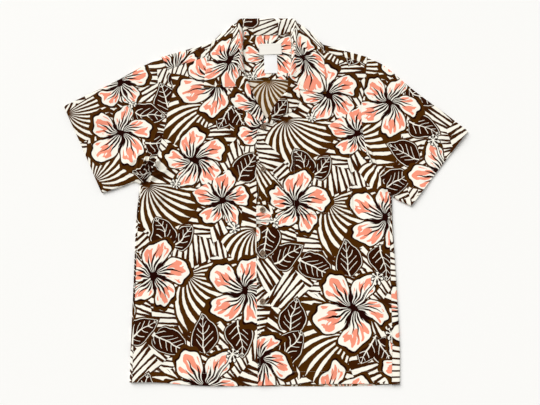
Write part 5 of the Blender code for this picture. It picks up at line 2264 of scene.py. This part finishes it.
neck_tape, care_tape = (label_place(label) for label in LABELS)
label_lines = (
    grid_line(neck_tape, (0.03, 0.04), (0.03, 0.96), 12),
    grid_line(neck_tape, (0.97, 0.04), (0.97, 0.96), 12),
    grid_line(care_tape, (0.04, 0.96), (0.96, 0.96), 12),
)
seams["labels"] = sewn("label_seams", seam(*label_lines), CREAM_THREAD)

# %% [markdown]
# ## Floor, light and camera
#
# A plain pale floor, a bright even sky and one soft distant lamp from the upper left, so that the
# whole floor is lit alike. The camera stands over the hem and leans 11 degrees towards the collar.

# %% Stage
FLOOR_SIZE = 60.0
FLOOR_Z = -0.0002  # just under the cloth
SUN_STRENGTH = 3.1
SKY_STRENGTH = 0.46


def make_floor():
    shape = bmesh.new()
    bmesh.ops.create_grid(shape, x_segments=1, y_segments=1, size=FLOOR_SIZE / 2)
    mesh = bpy.data.meshes.new("floor")
    shape.to_mesh(mesh)
    shape.free()
    floor = bpy.data.objects.new("floor", mesh)
    bpy.context.collection.objects.link(floor)
    floor.location.z = FLOOR_Z
    material, _, _ = new_material("floor_white", (0.93, 0.925, 0.905, 1.0), 0.9)
    mesh.materials.append(material)
    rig.stage(floor)
    return floor


def make_sun(name, turn_deg, height_deg, strength, softness_deg):
    """A distant soft lamp. Its turn is from +X towards +Y, and its height is over the floor."""
    lamp = bpy.data.lights.new(name, "SUN")
    lamp.energy = strength
    lamp.angle = math.radians(softness_deg)
    obj = bpy.data.objects.new(name, lamp)
    obj.rotation_euler = (math.radians(90.0 - height_deg), 0.0, math.radians(turn_deg + 90.0))
    bpy.context.collection.objects.link(obj)
    return obj


floor = make_floor()
make_sun("window_light", 128.0, 36.0, SUN_STRENGTH, 42.0)

world = bpy.data.worlds.new("studio")
bpy.context.scene.world = world
world.use_nodes = True
sky = world.node_tree.nodes["Background"]
sky.inputs["Color"].default_value = (1.0, 0.995, 0.98, 1.0)
sky.inputs["Strength"].default_value = SKY_STRENGTH

scene = bpy.context.scene
scene.view_settings.view_transform = "Standard"

# %% Camera
CAMERA_HEIGHT = 845.0
CAMERA_PLAN = Vector((11.6, -199.3))
CAMERA_LEAN_DEG = 11.0
CAMERA_LENS = 27.04

lens = bpy.data.cameras.new("camera")
lens.lens = CAMERA_LENS
lens.sensor_width = 36.0
lens.clip_start = 0.01
camera = bpy.data.objects.new("camera", lens)
camera.location = (Vector((CAMERA_PLAN.x, CAMERA_PLAN.y, CAMERA_HEIGHT)) - LAY_CENTRE) * MM
camera.rotation_euler = (math.radians(CAMERA_LEAN_DEG), 0.0, 0.0)
bpy.context.collection.objects.link(camera)
scene.camera = camera

# %% [markdown]
# ## What was cut
#
# Each sheet says the size of the flat piece it was cut from.

# %% Sheets
SheetCut = namedtuple("SheetCut", "piece width length area rests_on sewing")
SHEET_CUTS = (
    SheetCut(back, 0.56, 0.66, 0.331, ["floor"], []),
    SheetCut(yoke_outer, 0.49, 0.16, 0.0503, ["floor"], ["yoke"]),
    SheetCut(yoke_inner, 0.48, 0.12, 0.0400, ["yoke_outer"], []),
    SheetCut(fronts["right"], 0.29, 0.74, 0.172, ["back", "yoke_inner"], ["front_right"]),
    SheetCut(fronts["left"], 0.29, 0.74, 0.173, ["back", "front_right"], ["front_left", "buttonholes"]),
    SheetCut(sleeves["right"], 0.60, 0.24, 0.094, ["floor"], ["sleeve_right"]),
    SheetCut(sleeves["left"], 0.60, 0.24, 0.090, ["floor"], ["sleeve_left"]),
    SheetCut(collar, 0.50, 0.12, 0.0362, ["front_left", "front_right"], ["collar"]),
    SheetCut(lapels["right"], 0.10, 0.10, 0.0048, ["front_right"], ["lapel_right"]),
    SheetCut(lapels["left"], 0.10, 0.10, 0.0043, ["front_left"], ["lapel_left"]),
    SheetCut(pocket, 0.126, 0.146, 0.018, ["front_left"], ["pocket"]),
    SheetCut(labels["neck_label"], 0.052, 0.028, 0.0014, ["yoke_inner"], ["labels"]),
    SheetCut(labels["care_label"], 0.030, 0.046, 0.0013, ["yoke_inner"], []),
)
for cut in SHEET_CUTS:
    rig.sheet(
        cut.piece,
        flat=(cut.width, cut.length),
        held="laid",
        rests_on=cut.rests_on,
        area=cut.area,
        with_pieces=[seams[name] for name in cut.sewing],
    )

# %% [markdown]
# ## Sizes and the end

# %% Finish
with open("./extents.json", "w") as size_file:
    json.dump(
        {
            "cad": [list(map(float, corner)) for corner in CAD_BOX],
            "visual": [list(map(float, corner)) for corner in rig.bounds()],
        },
        size_file,
    )
